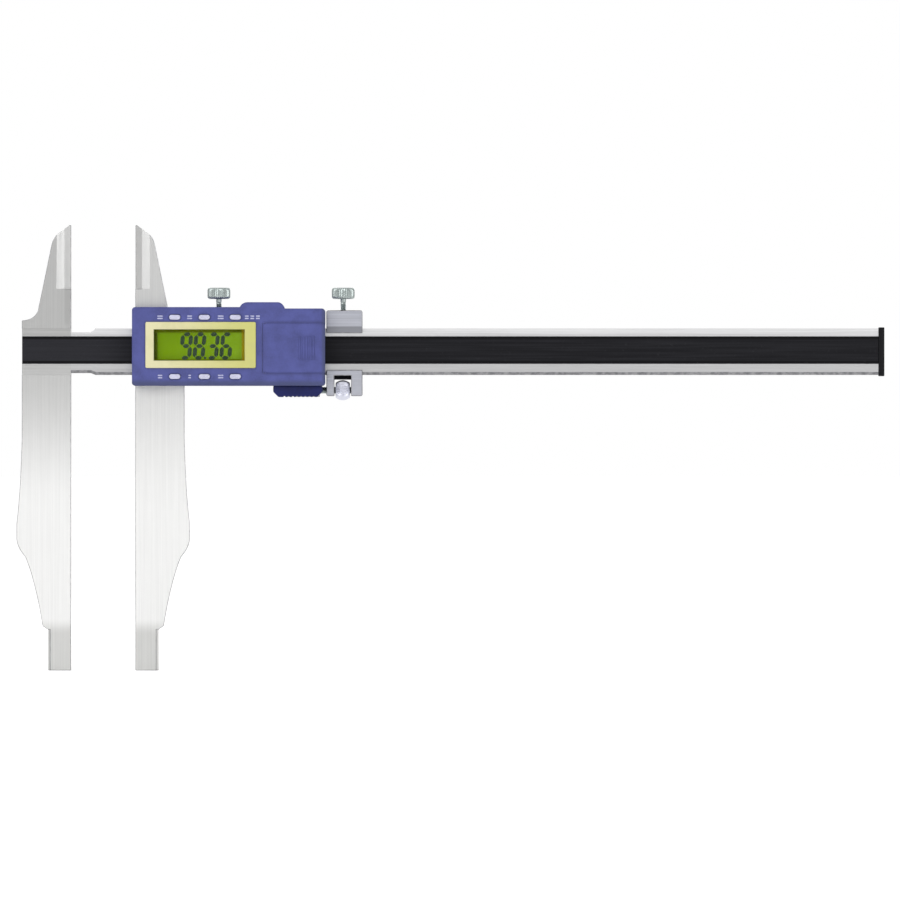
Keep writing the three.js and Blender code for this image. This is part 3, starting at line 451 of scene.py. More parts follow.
def scale_film(box):
    """Semi-matt black film with a darker printed border, faded at the jaw end."""
    s = Shader("scale_black")
    deep, rubbed, faded = (0.007, 0.007, 0.009), (0.014, 0.014, 0.017), (0.028, 0.028, 0.034)
    ink, dusty = (0.003, 0.003, 0.004), (0.035, 0.035, 0.04)
    foot, top, z = box[0].z, box[1].z, s.axis("Z")
    lower = s.band(z, foot + 1.3 * MM, foot + 1.1 * MM)
    upper = s.band(z, top - 1.3 * MM, top - 1.1 * MM)
    rub = s.grain((40 * MM, 1 * MM, 0.7 * MM), 3)
    dust = s.band(s.noise(1.2 * MM, 4, 2.0), 0.6, 0.8)
    tone = s.mix(s.band(rub, 0.35, 0.75), deep, rubbed)
    tone = s.mix(s.scaled(s.band(s.axis("X"), 45 * MM, 5 * MM), 0.5), tone, faded)
    tone = s.mix(s.math("MAXIMUM", lower, upper), tone, ink)
    s.set(
        base_color=s.mix(s.scaled(dust, 0.3), tone, dusty),
        roughness=s.scaled(rub, 0.2, 0.34),
        specular_ior_level=0.1,
        normal=s.bump(rub, 0.01 * MM, 0.3),
    )
    return s.material


def circuit_board():
    """Green solder resist with faint copper tracks under it."""
    s = Shader("circuit_green")
    resist, track, stain = (0.012, 0.1, 0.045), (0.03, 0.17, 0.07), (0.016, 0.11, 0.05)
    bricks = s.add("ShaderNodeTexBrick")
    s.feed(bricks.inputs["Vector"], s.place)
    bricks.inputs["Scale"].default_value = 160.0
    tracks = bricks.outputs["Fac"]
    s.set(
        base_color=s.mix(s.noise(4 * MM, 3), s.mix(tracks, resist, track), stain),
        roughness=s.scaled(s.noise(1 * MM, 2), 0.15, 0.3),
        normal=s.bump(tracks, 0.03 * MM, 0.4),
    )
    return s.material


def display_green(box, window):
    """Reflective display with a faint painted glow, and painted shadow of the bezel's inner walls
    round its edges.
    """
    s = Shader("display_green")
    left, right, cloudy = (0.145, 0.26, 0.001), (0.185, 0.32, 0.012), (0.13, 0.24, 0.004)
    x, z = s.axis("X"), s.axis("Z")
    low, high = window
    tone = s.mix(s.band(x, box[0].x, box[1].x), left, right)
    tone = s.mix(s.scaled(s.band(s.noise(6 * MM, 3), 0.35, 0.7), 0.5), tone, cloudy)
    # Painted shade round the edges, where the recessed display lies in the bezel's shadow:
    # deepest at left and top.
    shade_borders = [
        (s.band(x, low.x + 2.2 * MM, low.x + 0.9 * MM), (0.035, 0.03, 0.0)),
        (s.band(z, high.z - 1.9 * MM, high.z - 0.8 * MM), (0.075, 0.085, 0.0)),
        (s.band(z, low.z + 1.0 * MM, low.z + 0.4 * MM), (0.1, 0.13, 0.0)),
        (s.band(x, high.x - 1.7 * MM, high.x - 0.9 * MM), (0.3, 0.21, 0.004)),
    ]
    for border, ink in shade_borders:
        tone = s.mix(s.scaled(border, 0.85), tone, ink)
    cells = s.noise(0.25 * MM, 1, 3.0)
    # Painted glow: the emission lifts the display, which gives no light of its own.
    s.set(
        base_color=tone,
        roughness=s.scaled(cells, 0.1, 0.4),
        specular_ior_level=0.05,
        normal=s.bump(cells, 0.008 * MM, 0.3),
        emission_color=tone,
        emission_strength=0.25,
    )
    return s.material


def display_ink():
    """The dark segments of the display."""
    s = Shader("display_ink")
    dark, pale = (0.004, 0.026, 0.002), (0.009, 0.042, 0.004)
    cells = s.noise(0.6 * MM, 3)
    s.set(base_color=s.mix(cells, dark, pale), roughness=s.scaled(cells, 0.2, 0.3))
    return s.material


def clear_window():
    """Thin clear plate: mostly see-through, with a soft hard-coat sheen."""
    s = Shader("clear_plastic")
    smear = s.noise(8 * MM, 4)
    s.set(
        base_color=(0.02, 0.03, 0.015),
        roughness=s.scaled(smear, 0.12, 0.04),
        alpha=s.scaled(smear, 0.06, 0.02),
        specular_ior_level=0.4,
    )
    return s.material


def printed_mark():
    """Pale print, worn thin in patches."""
    s = Shader("printed_mark")
    fresh, thin = (0.42, 0.43, 0.6), (0.22, 0.23, 0.42)
    worn = s.band(s.noise(0.7 * MM, 4), 0.45, 0.75)
    s.set(
        base_color=s.mix(worn, fresh, thin),
        roughness=s.scaled(worn, 0.15, 0.45),
        normal=s.bump(worn, 0.01 * MM, 0.4),
    )
    return s.material


# Painted shade on the broken edges of the steel pieces.
EDGE_SHADE_STEEL = edge_steel()
SCREW = screw_steel()
NUT = nut_steel()
BLOCK = block_steel(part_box("clamp_block"))
BRASS = brass()


# ---------------------------------------------------------------- mesh helpers


def place_piece(name, bm, body, materials, nodes=(), smooth=SMOOTH):
    """Turns a bmesh into a smooth-shaded piece that rides on a body."""
    bmesh.ops.recalc_face_normals(bm, faces=bm.faces)
    mesh = bpy.data.meshes.new(name)
    bm.to_mesh(mesh)
    bm.free()
    for material in materials:
        mesh.materials.append(material)
    mesh.shade_smooth()
    mesh.set_sharp_from_angle(angle=smooth)
    piece = bpy.data.objects.new(name, mesh)
    bpy.context.scene.collection.objects.link(piece)
    weighted = piece.modifiers.new("weighted_normals", "WEIGHTED_NORMAL")
    weighted.keep_sharp = True
    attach(piece, body)
    if nodes:
        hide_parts(*nodes)
    return piece


def body_of(node):
    return cad_nodes[node]["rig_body"]


def node_mesh(node):
    """The CAD node's surface with its flat faces merged into single polygons."""
    bm = bmesh.new()
    bm.from_mesh(cad_nodes[node].data)
    bmesh.ops.remove_doubles(bm, verts=bm.verts, dist=1e-6)
    bmesh.ops.dissolve_limit(
        bm, angle_limit=math.radians(0.5), verts=bm.verts[:], edges=bm.edges[:]
    )
    for face in bm.faces:
        face.material_index = 0
    return bm


def jaw_seam(edge):
    """True along the lines where the fixed jaw and the beam lie flush, and at their ends."""
    near, short = 0.05 * MM, 3 * MM
    on_seam = [
        v.co.x < near and any(abs(v.co.z - h.z) < near for h in BEAM_BOX) for v in edge.verts
    ]
    return all(on_seam) or (any(on_seam) and edge.calc_length() < short)


def cover_slot(edge):
    """True on the rims of the housing's slots for the sliding covers, which stay sharp."""
    room = 0.15 * MM
    ends = [v.co for v in edge.verts]
    return any(
        all(l - room < c < h + room for p in ends for l, c, h in zip(low.yz, p.yz, high.yz))
        and all(p.x > low.x - room for p in ends)
        for low, high in COVER_BOXES
    )


def break_edges(bm, width, steps, chosen=None, material=-1, kept=jaw_seam):
    """Bevels the sharp edges, or those of them that chosen(edge) picks, but not kept(edge)."""
    edges = [
        e
        for e in bm.edges
        if len(e.link_faces) == 2
        and e.is_convex
        and SHARP < e.calc_face_angle(0) < KNIFE
        and not kept(e)
        and (chosen is None or chosen(e))
    ]
    bmesh.ops.bevel(
        bm,
        geom=edges,
        offset=width,
        offset_type="OFFSET",
        segments=steps,
        profile=0.5,
        affect="EDGES",
        clamp_overlap=False,
        loop_slide=False,
        material=material,
    )


def refined(
    node, materials, width, soft=(), paint=None, smooth=SMOOTH, kept=jaw_seam
):
    """A CAD node's own shape with broken edges; the beam is parted where the fixed jaw ends.

    Each entry of soft is (which edges, bevel width, material index): these come first.
    paint(face) gives the material index of a face. Broken edges take the last material if
    that is EDGE_SHADE_STEEL.
    """
    bm = node_mesh(node)
    if node == "beam":
        whole = bm.verts[:] + bm.edges[:] + bm.faces[:]
        bmesh.ops.bisect_plane(bm, geom=whole, plane_co=(0, 0, 0), plane_no=(1, 0, 0))
    if paint:
        for face in bm.faces:
            face.material_index = paint(face)
    for chosen, soft_width, material in soft:
        break_edges(bm, soft_width, 4, chosen, material, kept)
    edge_material = len(materials) - 1 if materials[-1] is EDGE_SHADE_STEEL else -1
    break_edges(bm, width, 2, material=edge_material, kept=kept)
    place_piece(node + "_surface", bm, body_of(node), materials, [node], smooth)


AXIS_TURN = {
    "z": Matrix.Identity(4),
    "x": Matrix.Rotation(math.pi / 2, 4, "Y"),
    "y": Matrix.Rotation(-math.pi / 2, 4, "X"),
}


def turned(profile, axis, centre, sides=64, ridges=0, ridge_depth=0.0):
    """A closed turned body from rows of (radius, height) or (radius, height, knurled share)."""
    bm = bmesh.new()
    rings = []
    for radius, height, *knurl in profile:
        if radius == 0:
            rings.append([bm.verts.new((0, 0, height))])
            continue
        share = knurl[0] if knurl else 0.0
        ring = []
        for i in range(sides):
            angle = 2 * math.pi * i / sides
            groove = ridge_depth * share * (0.5 - 0.5 * math.cos(ridges * angle))
            r = radius - groove
            ring.append(bm.verts.new((r * math.cos(angle), r * math.sin(angle), height)))
        rings.append(ring)
    for low, high in zip(rings, rings[1:]):
        join_rings(bm, low, high)
    if len(rings[0]) > 1 and len(rings[-1]) > 1:
        join_rings(bm, rings[-1], rings[0])
    bm.transform(Matrix.Translation(centre) @ AXIS_TURN[axis])
    return bm


def join_rings(bm, low, high):
    count = max(len(low), len(high))
    for i in range(count):
        a, b = i, (i + 1) % count
        corners = [low[a % len(low)], low[b % len(low)], high[b % len(high)], high[a % len(high)]]
        bm.faces.new(list(dict.fromkeys(corners)))


def box_mesh(low, high):
    bm = bmesh.new()
    bmesh.ops.create_cube(bm, size=1)
    low, high = Vector(low), Vector(high)
    bm.transform(Matrix.Translation((low + high) / 2) @ Matrix.Diagonal((*(high - low), 1)))
    return bm


def carve(piece, cutter_mesh):
    """Cuts the cutter's shape out of the piece, for good."""
    mesh = bpy.data.meshes.new("cutter")
    cutter_mesh.to_mesh(mesh)
    cutter_mesh.free()
    cutter = bpy.data.objects.new("cutter", mesh)
    bpy.context.scene.collection.objects.link(cutter)
    cut = piece.modifiers.new("cut", "BOOLEAN")
    cut.operation, cut.solver, cut.object = "DIFFERENCE", "EXACT", cutter
    bpy.context.view_layer.update()
    evaluated = piece.evaluated_get(bpy.context.evaluated_depsgraph_get())
    carved = bpy.data.meshes.new_from_object(evaluated)
    piece.modifiers.remove(cut)
    piece.data = carved
    bpy.data.objects.remove(cutter)


def pill_outline(x, z, length, height, steps=12):
    """Points of a pill-shaped outline in XZ around a centre."""
    radius = height / 2
    reach = length / 2 - radius
    points = []
    for side, first in ((1, math.pi / 2), (-1, 1.5 * math.pi)):
        for i in range(steps + 1):
            angle = first - math.pi * i / steps
            bend = x + side * reach
            points.append((bend + radius * math.cos(angle), z + radius * math.sin(angle)))
    return points


def loft(bm, outlines):
    """Joins equal-length outlines [(x, z), ...] at their depths and caps both ends."""
    rings = [[bm.verts.new((x, depth, z)) for x, z in points] for points, depth in outlines]
    for low, high in zip(rings, rings[1:]):
        join_rings(bm, low, high)
    bm.faces.new(rings[0])
    bm.faces.new(rings[-1])


# ---------------------------------------------------------------- turned pieces


def turned_part(node, axis, rows, slot_name="screw_steel", material=SCREW, **knurl):
    """A turned piece centred on a CAD node. Heights in rows count from the node's middle."""
    bm = turned(rows, axis, middle(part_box(node)), **knurl)
    return place_piece(node + "_surface", bm, body_of(node), [material], [node])


def radius_of(node, axis):
    low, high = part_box(node)
    return max(h - l for a, l, h in zip("xyz", low, high) if a != axis) / 2


def half_length(node, axis):
    low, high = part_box(node)
    return (high["xyz".index(axis)] - low["xyz".index(axis)]) / 2


def thread_rows(radius, start, end, pitch=0.5 * MM, depth=0.2 * MM):
    """Profile rows of a threaded length, as closed ridges one pitch apart."""
    count = int((end - start) / pitch)
    rows = []
    for i in range(count):
        z = start + i * pitch
        rows += [(radius - depth, z), (radius, z + pitch / 2)]
    rows.append((radius - depth, end))
    return rows


def rivet(node):
    """Flush rivet with chamfered rims and a shallow punch mark on its back."""
    r, half = radius_of(node, "y"), half_length(node, "y")
    chamfer = 0.2 * MM
    punched = half - 0.12 * MM
    rows = [(0, -half), (r - chamfer, -half), (r, chamfer - half)]
    rows += [(r, half - chamfer), (r - chamfer, half), (r * 0.55, half)]
    rows += [(r * 0.5, punched), (0, punched)]
    turned_part(node, "y", rows)


def screw(node, axis, shank, head_depth, drive, head_end=1):
    """Screw with a rounded head edge at one end and a slot or cross cut into it."""
    r, half = radius_of(node, axis), half_length(node, axis)
    seat = half - head_depth
    rim, point = 0.22 * MM, 0.3 * MM
    rows = [(0, -half), (shank * 0.6, -half), *thread_rows(shank, point - half, seat)]
    rows += [(r, seat), (r, half - rim), (r - rim * 0.3, half - rim * 0.3)]
    rows += [(r - rim, half), (0, half)]
    if head_end < 0:
        rows = [(radius, -height) for radius, height in rows]
    piece = turned_part(node, axis, rows, sides=40)
    for cutter in drive_cutters(node, axis, r, head_end, drive):
        carve(piece, cutter)


def drive_cutters(node, axis, r, head_end, drive):
    """Boxes that cut a slot, or a cross of two slots, into the head."""
    centre = middle(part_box(node))
    half, depth = half_length(node, axis), 0.55 * MM
    up = "xyz".index(axis)
    sides = [i for i in range(3) if i != up]
    reach = r * 2 if drive == "slot" else r * 0.62
    boxes = []
    for along, across in ([sides] if drive == "slot" else [sides, sides[::-1]]):
        spread, floor, above = Vector(), centre.copy(), centre.copy()
        spread[along], spread[across] = reach, r * 0.17
        floor[up] += head_end * (half - depth)
        above[up] += head_end * (half + 1 * MM)
        low = [min(a, b) - w for a, b, w in zip(floor, above, spread)]
        high = [max(a, b) + w for a, b, w in zip(floor, above, spread)]
        boxes.append(box_mesh(low, high))
    return boxes


def lock_screw(node):
    """Thumb screw: threaded shank, flared knurled head with a dished top."""
    r, half = radius_of(node, "z"), half_length(node, "z")
    shank = 1.25 * MM
    foot, neck, dish = half - 4.8 * MM, half - 6.3 * MM, half - 0.66 * MM
    flare = [(0.82, 0.0), (0.9, 0.15), (0.97, 0.45), (1.0, 0.9)]
    rows = [(0, -half), (shank * 0.7, -half), *thread_rows(shank, 0.4 * MM - half, neck)]
    rows += [(shank * 0.95, neck + 0.1 * MM), (shank, foot - 0.1 * MM), (r * 0.5, foot)]
    rows += [(r * share, foot + up * MM, up) for share, up in flare]
    rows += [(r, foot + (0.9 + 0.4 * i) * MM, 1.0) for i in range(1, 8)]
    rows += [(r * 0.965, half - 0.35 * MM, 0.6), (r * 0.9, half, 0.0)]
    rows += [(r * 0.66, half), (r * 0.62, half - 0.15 * MM), (r * 0.56, dish + 0.06 * MM)]
    rows += [(r * 0.3, dish), (0, dish)]
    turned_part(node, "z", rows, sides=216, ridges=36, ridge_depth=0.28 * MM)


def knurled_nut(node):
    """Crowned nut with straight knurling and a plain collar at both ends."""
    r, half = radius_of(node, "x"), half_length(node, "x")
    bore, crown, steps = 1.55 * MM, 1.1 * MM, 16
    collar = r - crown - 0.7 * MM
    rows = [(bore, -half), (collar, -half)]
    for i in range(steps + 1):
        along = 2 * i / steps - 1
        share = min(1.0, (1 - abs(along)) * 5)
        rows.append((r - crown * along**2 - 0.02 * MM, half * along * 0.97, share))
    rows += [(collar, half), (bore, half)]
    turned_part(node, "x", rows, material=NUT, sides=192, ridges=32, ridge_depth=0.3 * MM)


def adjust_rod(node):
    """Rod with a plain end for its pin and a threaded length for the nut."""
    r, half = radius_of(node, "x"), half_length(node, "x")
    plain = 9 * MM - half
    rows = [(0, -half), (r * 0.8, -half), (r, 0.3 * MM - half), (r, plain)]
    rows += thread_rows(r, plain + 0.3 * MM, half - 0.5 * MM)
    rows += [(r * 0.7, half), (0, half)]
    turned_part(node, "x", rows, sides=32)


def plain_pin(node, axis, slot_name="screw_steel", material=SCREW):
    r, half = radius_of(node, axis), half_length(node, axis)
    rim = 0.15 * MM
    rows = [(0, -half), (r - rim, -half), (r, rim - half)]
    rows += [(r, half - rim), (r - rim, half), (0, half)]
    turned_part(node, axis, rows, slot_name, material, sides=40)


def gib_set_screw(node):
    """Headless slotted set screw."""
    r, half = radius_of(node, "z"), half_length(node, "z")
    rows = [(0, -half), (r * 0.7, -half), *thread_rows(r, 0.3 * MM - half, half - 0.25 * MM)]
    rows += [(r * 0.75, half), (0, half)]
    piece = turned_part(node, "z", rows, sides=40)
    for cutter in drive_cutters(node, "z", r, 1, "slot"):
        carve(piece, cutter)


# ---------------------------------------------------------------- beam


def beam_edge(side):
    """Picks the beam's long front and back edges, below (side 0) or above (side 1)."""
    height = BEAM_BOX[side].z

    def chosen(edge):
        ends = [v.co for v in edge.verts]
        level = all(abs(p.z - height) < 2 * MM and p.x > -0.05 * MM for p in ends)
        return level and abs(ends[0].y - ends[1].y) < 0.1 * MM

    return chosen


def knife_facet(face):
    """1 for the lapped flats of the knife edges, told by the way they face, else 0."""
    leans = 0.2 < abs(face.normal.x) < 0.7 and abs(face.normal.z) < 0.05
    return 1 if leans and face.calc_center_median().z > BEAM_BOX[1].z else 0


def jaw_piece(node, steel, edge_width):
    finishes = [steel, facet_steel(), EDGE_SHADE_STEEL]
    refined(node, finishes, edge_width, paint=knife_facet, smooth=FACETED)


def beam_pieces():
    # The beam's foot chamfer is wide and takes the edge steel's painted shade.
    beam_soft = [(beam_edge(0), 1.3 * MM, 1), (beam_edge(1), 0.5 * MM, 0)]
    refined("beam", [beam_steel(), EDGE_SHADE_STEEL], 0.12 * MM, soft=beam_soft)
    jaw_piece("fixed_jaw", jaw_steel("fixed_jaw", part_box("fixed_jaw")[1].x), 0.22 * MM)
    for i in range(1, 4):
        rivet(f"jaw_rivet_{i}")
    refined("scale_board", [circuit_board()], 0.05 * MM)
    refined("scale_film", [scale_film(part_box("scale_film"))], 0.05 * MM)
    refined("end_stop", [dark_steel()], 0.3 * MM)
    for i in (1, 2):
        screw(f"end_stop_screw_{i}", "x", 1.0 * MM, 1.2 * MM, "slot")


# ---------------------------------------------------------------- slider and clamp


def slider_pieces():
    jaw_piece("slider_frame", jaw_steel("slider_frame"), 0.2 * MM)
    refined("slider_gib", [BRASS], 0.12 * MM)
    plain_pin("slider_lock_pad", "z", "brass", BRASS)
    lock_screw("slider_lock_screw")
    adjust_rod("fine_adjust_rod")
    plain_pin("rod_lock_pin", "y")
    for i in (1, 2):
        gib_set_screw(f"gib_screw_{i}")
    for i in range(1, 5):
        screw(f"housing_screw_{i}", "y", 0.7 * MM, 1.07 * MM, "cross")
    for i in range(1, 4):
        screw(f"board_screw_{i}", "y", 0.7 * MM, 1.0 * MM, "cross", -1)
    for i in (1, 2):
        screw(f"thumb_rest_screw_{i}", "z", 0.7 * MM, 1.0 * MM, "cross", -1)


def in_window(face):
    """1 for the walls of the clamp's window above the nut, which take the painted shadow, else 0.
    """
    low, high = NUT_BOX
    centre = face.calc_center_median()
    across = low.x - 1 * MM < centre.x < high.x + 1 * MM
    above = high.z - 0.6 * MM < centre.z < high.z + 2.2 * MM
    inside = abs(centre.y - middle(NUT_BOX).y) < 3.9 * MM
    return 1 if across and above and inside else 0


def rod_hole(edge):
    """True on the rims of the clamp's hole for the fine adjustment rod, which stay sharp."""
    reach = 1.9 * MM
    return all((v.co.yz - ROD_CENTRE.yz).length < reach for v in edge.verts)


def clamp_pieces():
    finishes = [BLOCK, pocket_black(), EDGE_SHADE_STEEL]
    refined("clamp_block", finishes, 0.3 * MM, paint=in_window, kept=rod_hole)
    plain_pin("clamp_lock_pad", "z", "brass", BRASS)
    lock_screw("clamp_lock_screw")
    knurled_nut("fine_adjust_nut")


# ---------------------------------------------------------------- readout


def front_outline(node):
    """Picks the front edges along the node's outline, whose top steps down from a hump."""
    low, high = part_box(node)
    near, step = 0.5 * MM, 3.3 * MM

    def chosen(edge):
        ends = [v.co for v in edge.verts]
        centre = middle(ends)
        on_front = all(p.y <= low.y + 0.02 * MM for p in ends)
        side = min(centre.x - low.x, high.x - centre.x, centre.z - low.z) < near
        return on_front and (side or high.z - centre.z < step)

    return chosen


def readout_pieces():
    blue = housing_blue(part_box("front_housing"))
    navy = grip_navy()
    white = frame_plastic()
    grey = connector_grey()
    outline = [(front_outline("front_housing"), 0.4 * MM, -1)]
    refined("front_housing", [blue], 0.1 * MM, soft=outline, kept=cover_slot)
    refined("battery_cover", [blue], 0.12 * MM)
    refined("data_port_cover", [blue], 0.12 * MM)
    refined("thumb_rest", [navy], 0.3 * MM)
    refined("lcd_bezel", [bezel_cream(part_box("lcd_bezel"))], 0.3 * MM)
    refined("lcd_window", [clear_window()], 0.05 * MM)
    display = display_green(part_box("lcd_panel"), view_area())
    refined("lcd_panel", [display], 0.05 * MM)
    refined("lcd_holder", [white], 0.1 * MM)
    refined("zebra_strip", [grey], 0.1 * MM)
    refined("readout_board", [circuit_board()], 0.05 * MM)
    refined("button_membrane_upper", [grey], 0.1 * MM)
    refined("button_membrane_lower", [grey], 0.1 * MM)
    refined("battery_holder", [white], 0.12 * MM)
    refined("data_connector", [white], 0.12 * MM)
    nickel = bright_metal("contact_nickel", NICKEL, 0.28)
    for end in ("negative", "positive"):
        refined(f"battery_contact_{end}", [nickel], 0.04 * MM)
    coin_cell("battery")
    buttons()
    digits()
    marks()


def view_area():
    """The display's visible area: the bezel's opening."""
    low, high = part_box("lcd_window")
    margin = Vector((1 * MM, 0, 1 * MM))
    return low + margin, high - margin


def coin_cell(node):
    """Coin cell: a can with a rounded rim, and the smaller pole standing out of it."""
    r, half = radius_of(node, "y"), half_length(node, "y")
    inset_and_depth = [(0.5, 0), (0.15, 0.15), (0, 0.5)]
    inset_and_drop = [(0, 0.8), (0.3, 0.45), (1.3, 0.4), (1.4, 0.1), (1.6, 0)]
    rows = [(0, -half)]
    rows += [(r - inset * MM, depth * MM - half) for inset, depth in inset_and_depth]
    rows += [(r - inset * MM, half - drop * MM) for inset, drop in inset_and_drop]
    rows += [(0, half)]
    steel = bright_metal("battery_steel", CELL_STEEL, 0.25)
    turned_part(node, "y", rows, "battery_steel", steel, sides=96)


def button_cap(node, finish):
    """A pill cap with a softly crowned face, on the CAD button's place."""
    low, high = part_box(node)
    centre = middle((low, high))
    length, height = 4.8 * MM, 2.1 * MM
    crown = [(0.0, 0.3), (0.08, 0.12), (0.25, 0.03), (0.6, 0.0)]  # inset and drop, in mm
    sections = [(pill_outline(centre.x, centre.z, length, height), high.y)]
    for inset, drop in crown:
        slim = 2 * inset * MM
        points = pill_outline(centre.x, centre.z, length - slim, height - slim)
        sections.append((points, low.y + drop * MM))
    bm = bmesh.new()
    loft(bm, sections)
    place_piece(node + "_surface", bm, node, [finish], [node])


def buttons():
    finish = button_plastic()
    for row in ("upper", "lower"):
        for i in range(1, 4):
            button_cap(f"button_{row}_{i}", finish)


SEGMENTS = {  # lit segments of each figure, in the usual a to g order
    "3": "abcdg",
    "6": "acdefg",
    "8": "abcdefg",
    "9": "abcdfg",
}


def segment_points(name, width, height, thick):
    """The six-cornered outline of one display segment, around the figure's centre."""
    half_w, half_h, gap = width / 2, height / 2, thick * 0.14
    ends = {
        "a": ((-half_w, half_h), (half_w, half_h)),
        "b": ((half_w, 0), (half_w, half_h)),
        "c": ((half_w, -half_h), (half_w, 0)),
        "d": ((-half_w, -half_h), (half_w, -half_h)),
        "e": ((-half_w, -half_h), (-half_w, 0)),
        "f": ((-half_w, 0), (-half_w, half_h)),
        "g": ((-half_w, 0), (half_w, 0)),
    }
    start, end = (Vector(p) for p in ends[name])
    along = (end - start).normalized()
    across = Vector((-along.y, along.x)) * thick / 2
    start, end = start + along * gap, end - along * gap
    taper = along * thick / 2
    return [
        start,
        start + taper - across,
        end - taper - across,
        end,
        end - taper + across,
        start + taper + across,
    ]


def digits():
    """Slanted seven-segment figures with a decimal point, just in front of the display panel."""
    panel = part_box("lcd_panel")
    depth = (panel[0].y - 0.06 * MM, panel[0].y - 0.01 * MM)
    width, height, thick, slant = 3.5 * MM, 10.1 * MM, 1.75 * MM, 0.09
    first_x, pitch = middle(panel).x - 6.2 * MM, 5.75 * MM
    centre_z = middle(panel).z - 0.35 * MM
    dot_radius, dot_sides = 0.55 * MM, 12
    bm = bmesh.new()
    for i, figure in enumerate("9836"):
        for name in SEGMENTS[figure]:
            points = segment_points(name, width, height, thick)
            add_prism(bm, points, first_x + i * pitch, centre_z, slant, depth)
    turns = [2 * math.pi * k / dot_sides for k in range(dot_sides)]
    dot = [Vector((math.cos(turn), math.sin(turn))) * dot_radius for turn in turns]
    dot_x = first_x + 1.5 * pitch - slant * height / 2
    add_prism(bm, dot, dot_x, centre_z - height / 2, 0, depth)
    place_piece("display_figures", bm, "slider", [display_ink()])


def add_prism(bm, points, x, z, slant, depth):
    """A flat slanted figure with the outline's points, from one depth to the other."""
    rings = [[bm.verts.new((x + p.x + slant * p.y, y, z + p.y)) for p in points] for y in depth]
    join_rings(bm, *rings)
    bm.faces.new(rings[0])
    bm.faces.new(rings[1])


def marks():
    """Generic printed dashes beside the buttons, without any lettering."""
    lengths = {"upper": (2.4, 2.2, 2.6), "lower": (2.0, 1.2, 2.4)}  # in mm
    before_button, after_last, pitch, short = 6.3 * MM, 4.9 * MM, 2.4 * MM, 1.7 * MM
    bm = bmesh.new()
    for row, sizes in lengths.items():
        for i, size in enumerate(sizes, 1):
            centre = middle(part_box(f"button_{row}_{i}"))
            dash_pair(bm, centre.x - before_button, centre.z, size * MM)
    last = middle(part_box("button_upper_3"))
    for k in range(3):
        dash_pair(bm, last.x + after_last + k * pitch, last.z, short)
    place_piece("button_marks", bm, "slider", [printed_mark()])


def dash_pair(bm, x, z, length):
    """Two short dashes, one above the other, on the housing's face."""
    face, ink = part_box("front_housing")[0].y, 0.02 * MM
    rise, thickness = 0.5 * MM, 0.55 * MM
    for side in (-1, 1):
        points = pill_outline(x, z + side * rise, length, thickness, 4)
        loft(bm, [(points, face + ink), (points, face - ink)])


# ---------------------------------------------------------------- studio


LAMPS = [  # name, place and aim from the object's centre, size, all in metres, and power
    ("low_front", (-0.15, -0.6, -0.22), (-0.15, 0, -0.05), (0.5, 0.25), 1.2),
    ("key", (-1.0, -1.1, 0.6), (0, 0, 0), (0.7, 0.7), 6),
    ("fill", (1.0, -1.1, 0.3), (0, 0, 0), (0.7, 0.7), 4),
    ("back_left", (-0.9, 1.2, 0.8), (0, 0, 0), (0.8, 0.8), 5),
    ("back_right", (1.0, 1.2, 0.5), (0, 0, 0), (0.8, 0.8), 4),
]


def area_light(name, place, aim, size, power):
    light = bpy.data.lights.new(name, "AREA")
    light.shape, light.size, light.size_y = "RECTANGLE", *size
    light.energy = power
    lamp = bpy.data.objects.new(name, light)
    lamp.location = place
    lamp.rotation_euler = (aim - place).to_track_quat("-Z", "Y").to_euler()
    lamp.visible_camera = False
    bpy.context.scene.collection.objects.link(lamp)


def studio_world():
    """White behind the object, and a soft grey gradient in what it reflects."""
    world = bpy.data.worlds.new("studio")
    bpy.context.scene.world = world
    world.use_nodes = True
    tree = world.node_tree
    tree.nodes.clear()
    add, link = tree.nodes.new, tree.links.new
    split = add("ShaderNodeSeparateXYZ")
    link(add("ShaderNodeTexCoord").outputs["Generated"], split.inputs[0])
    sideways = add("ShaderNodeMath")
    sideways.operation = "ABSOLUTE"
    link(split.outputs["X"], sideways.inputs[0])
    ramp = add("ShaderNodeMapRange")
    ramp.interpolation_type = "SMOOTHSTEP"
    link(sideways.outputs[0], ramp.inputs["Value"])
    ramp.inputs["From Min"].default_value = 0.3
    ramp.inputs["From Max"].default_value = 0.95
    ramp.inputs["To Min"].default_value = 0.92
    ramp.inputs["To Max"].default_value = 0.62
    soft, white = add("ShaderNodeBackground"), add("ShaderNodeBackground")
    link(ramp.outputs["Result"], soft.inputs["Strength"])
    white.inputs["Strength"].default_value = 1.0
    white.inputs["Color"].default_value = soft.inputs["Color"].default_value = (1, 1, 1, 1)
    mix, out = add("ShaderNodeMixShader"), add("ShaderNodeOutputWorld")
    link(add("ShaderNodeLightPath").outputs["Is Camera Ray"], mix.inputs[0])
    link(soft.outputs[0], mix.inputs[1])
    link(white.outputs[0], mix.inputs[2])
    link(mix.outputs[0], out.inputs["Surface"])


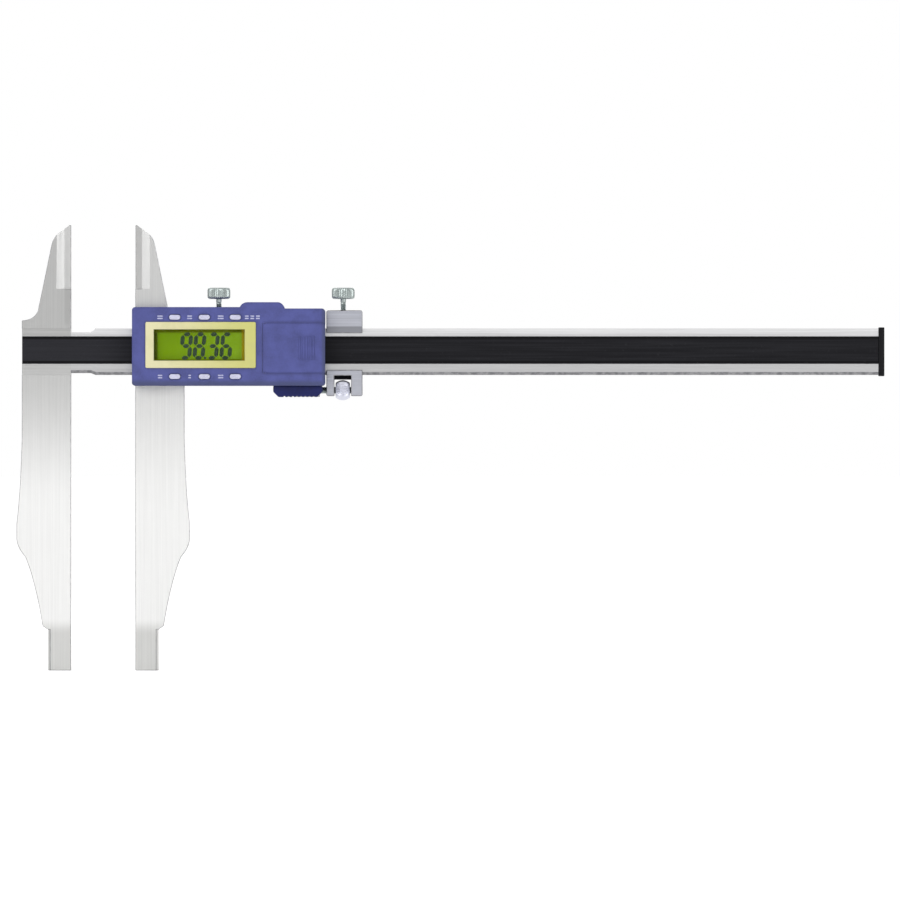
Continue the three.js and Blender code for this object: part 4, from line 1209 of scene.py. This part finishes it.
def studio_floor(height):
    """A wide pale floor that can't be seen from below."""
    metres_out = 30
    bm = bmesh.new()
    bmesh.ops.create_grid(bm, x_segments=8, y_segments=8, size=metres_out)
    mesh = bpy.data.meshes.new("floor")
    bm.to_mesh(mesh)
    bm.free()
    floor = bpy.data.objects.new("floor", mesh)
    floor.location = (0, 0, height)
    bpy.context.scene.collection.objects.link(floor)
    s = Shader("floor")
    s.set(
        base_color=s.mix(s.noise(0.5, 3), (0.93, 0.93, 0.93), (0.95, 0.95, 0.95)),
        roughness=0.9,
        specular_ior_level=0.0,
        emission_color=(1, 1, 1),
        emission_strength=s.scaled(s.add("ShaderNodeLightPath").outputs["Is Camera Ray"], 0.3),
    )
    tree = s.tree
    mix, clear = s.add("ShaderNodeMixShader"), s.add("ShaderNodeBsdfTransparent")
    tree.links.new(s.add("ShaderNodeNewGeometry").outputs["Backfacing"], mix.inputs[0])
    tree.links.new(s.surface.outputs[0], mix.inputs[1])
    tree.links.new(clear.outputs[0], mix.inputs[2])
    tree.links.new(mix.outputs[0], tree.nodes["Material Output"].inputs["Surface"])
    mesh.materials.append(s.material)


def studio_lights(centre):
    for name, place, aim, size, power in LAMPS:
        area_light(name, centre + Vector(place), centre + Vector(aim), size, power)


def studio_camera(box):
    """Level view straight at the display side, from far off."""
    margin, aim = 1.0367, Vector((-0.2 * MM, 0, -0.97 * MM))
    camera = bpy.data.cameras.new("camera")
    camera.lens, camera.sensor_width = 400, 36
    distance = (box[1].x - box[0].x) * margin * camera.lens / camera.sensor_width
    holder = bpy.data.objects.new("camera", camera)
    holder.location = middle(box) + aim - Vector((0, distance, 0))
    holder.rotation_euler = (math.pi / 2, 0, 0)
    camera.clip_end = distance * 10
    bpy.context.scene.collection.objects.link(holder)
    bpy.context.scene.camera = holder


def studio():
    studio_world()
    studio_floor(cad_box[0].z)
    studio_lights(middle(cad_box))
    studio_camera(cad_box)
    bpy.context.scene.view_settings.view_transform = "Standard"


beam_pieces()
slider_pieces()
clamp_pieces()
readout_pieces()
studio()
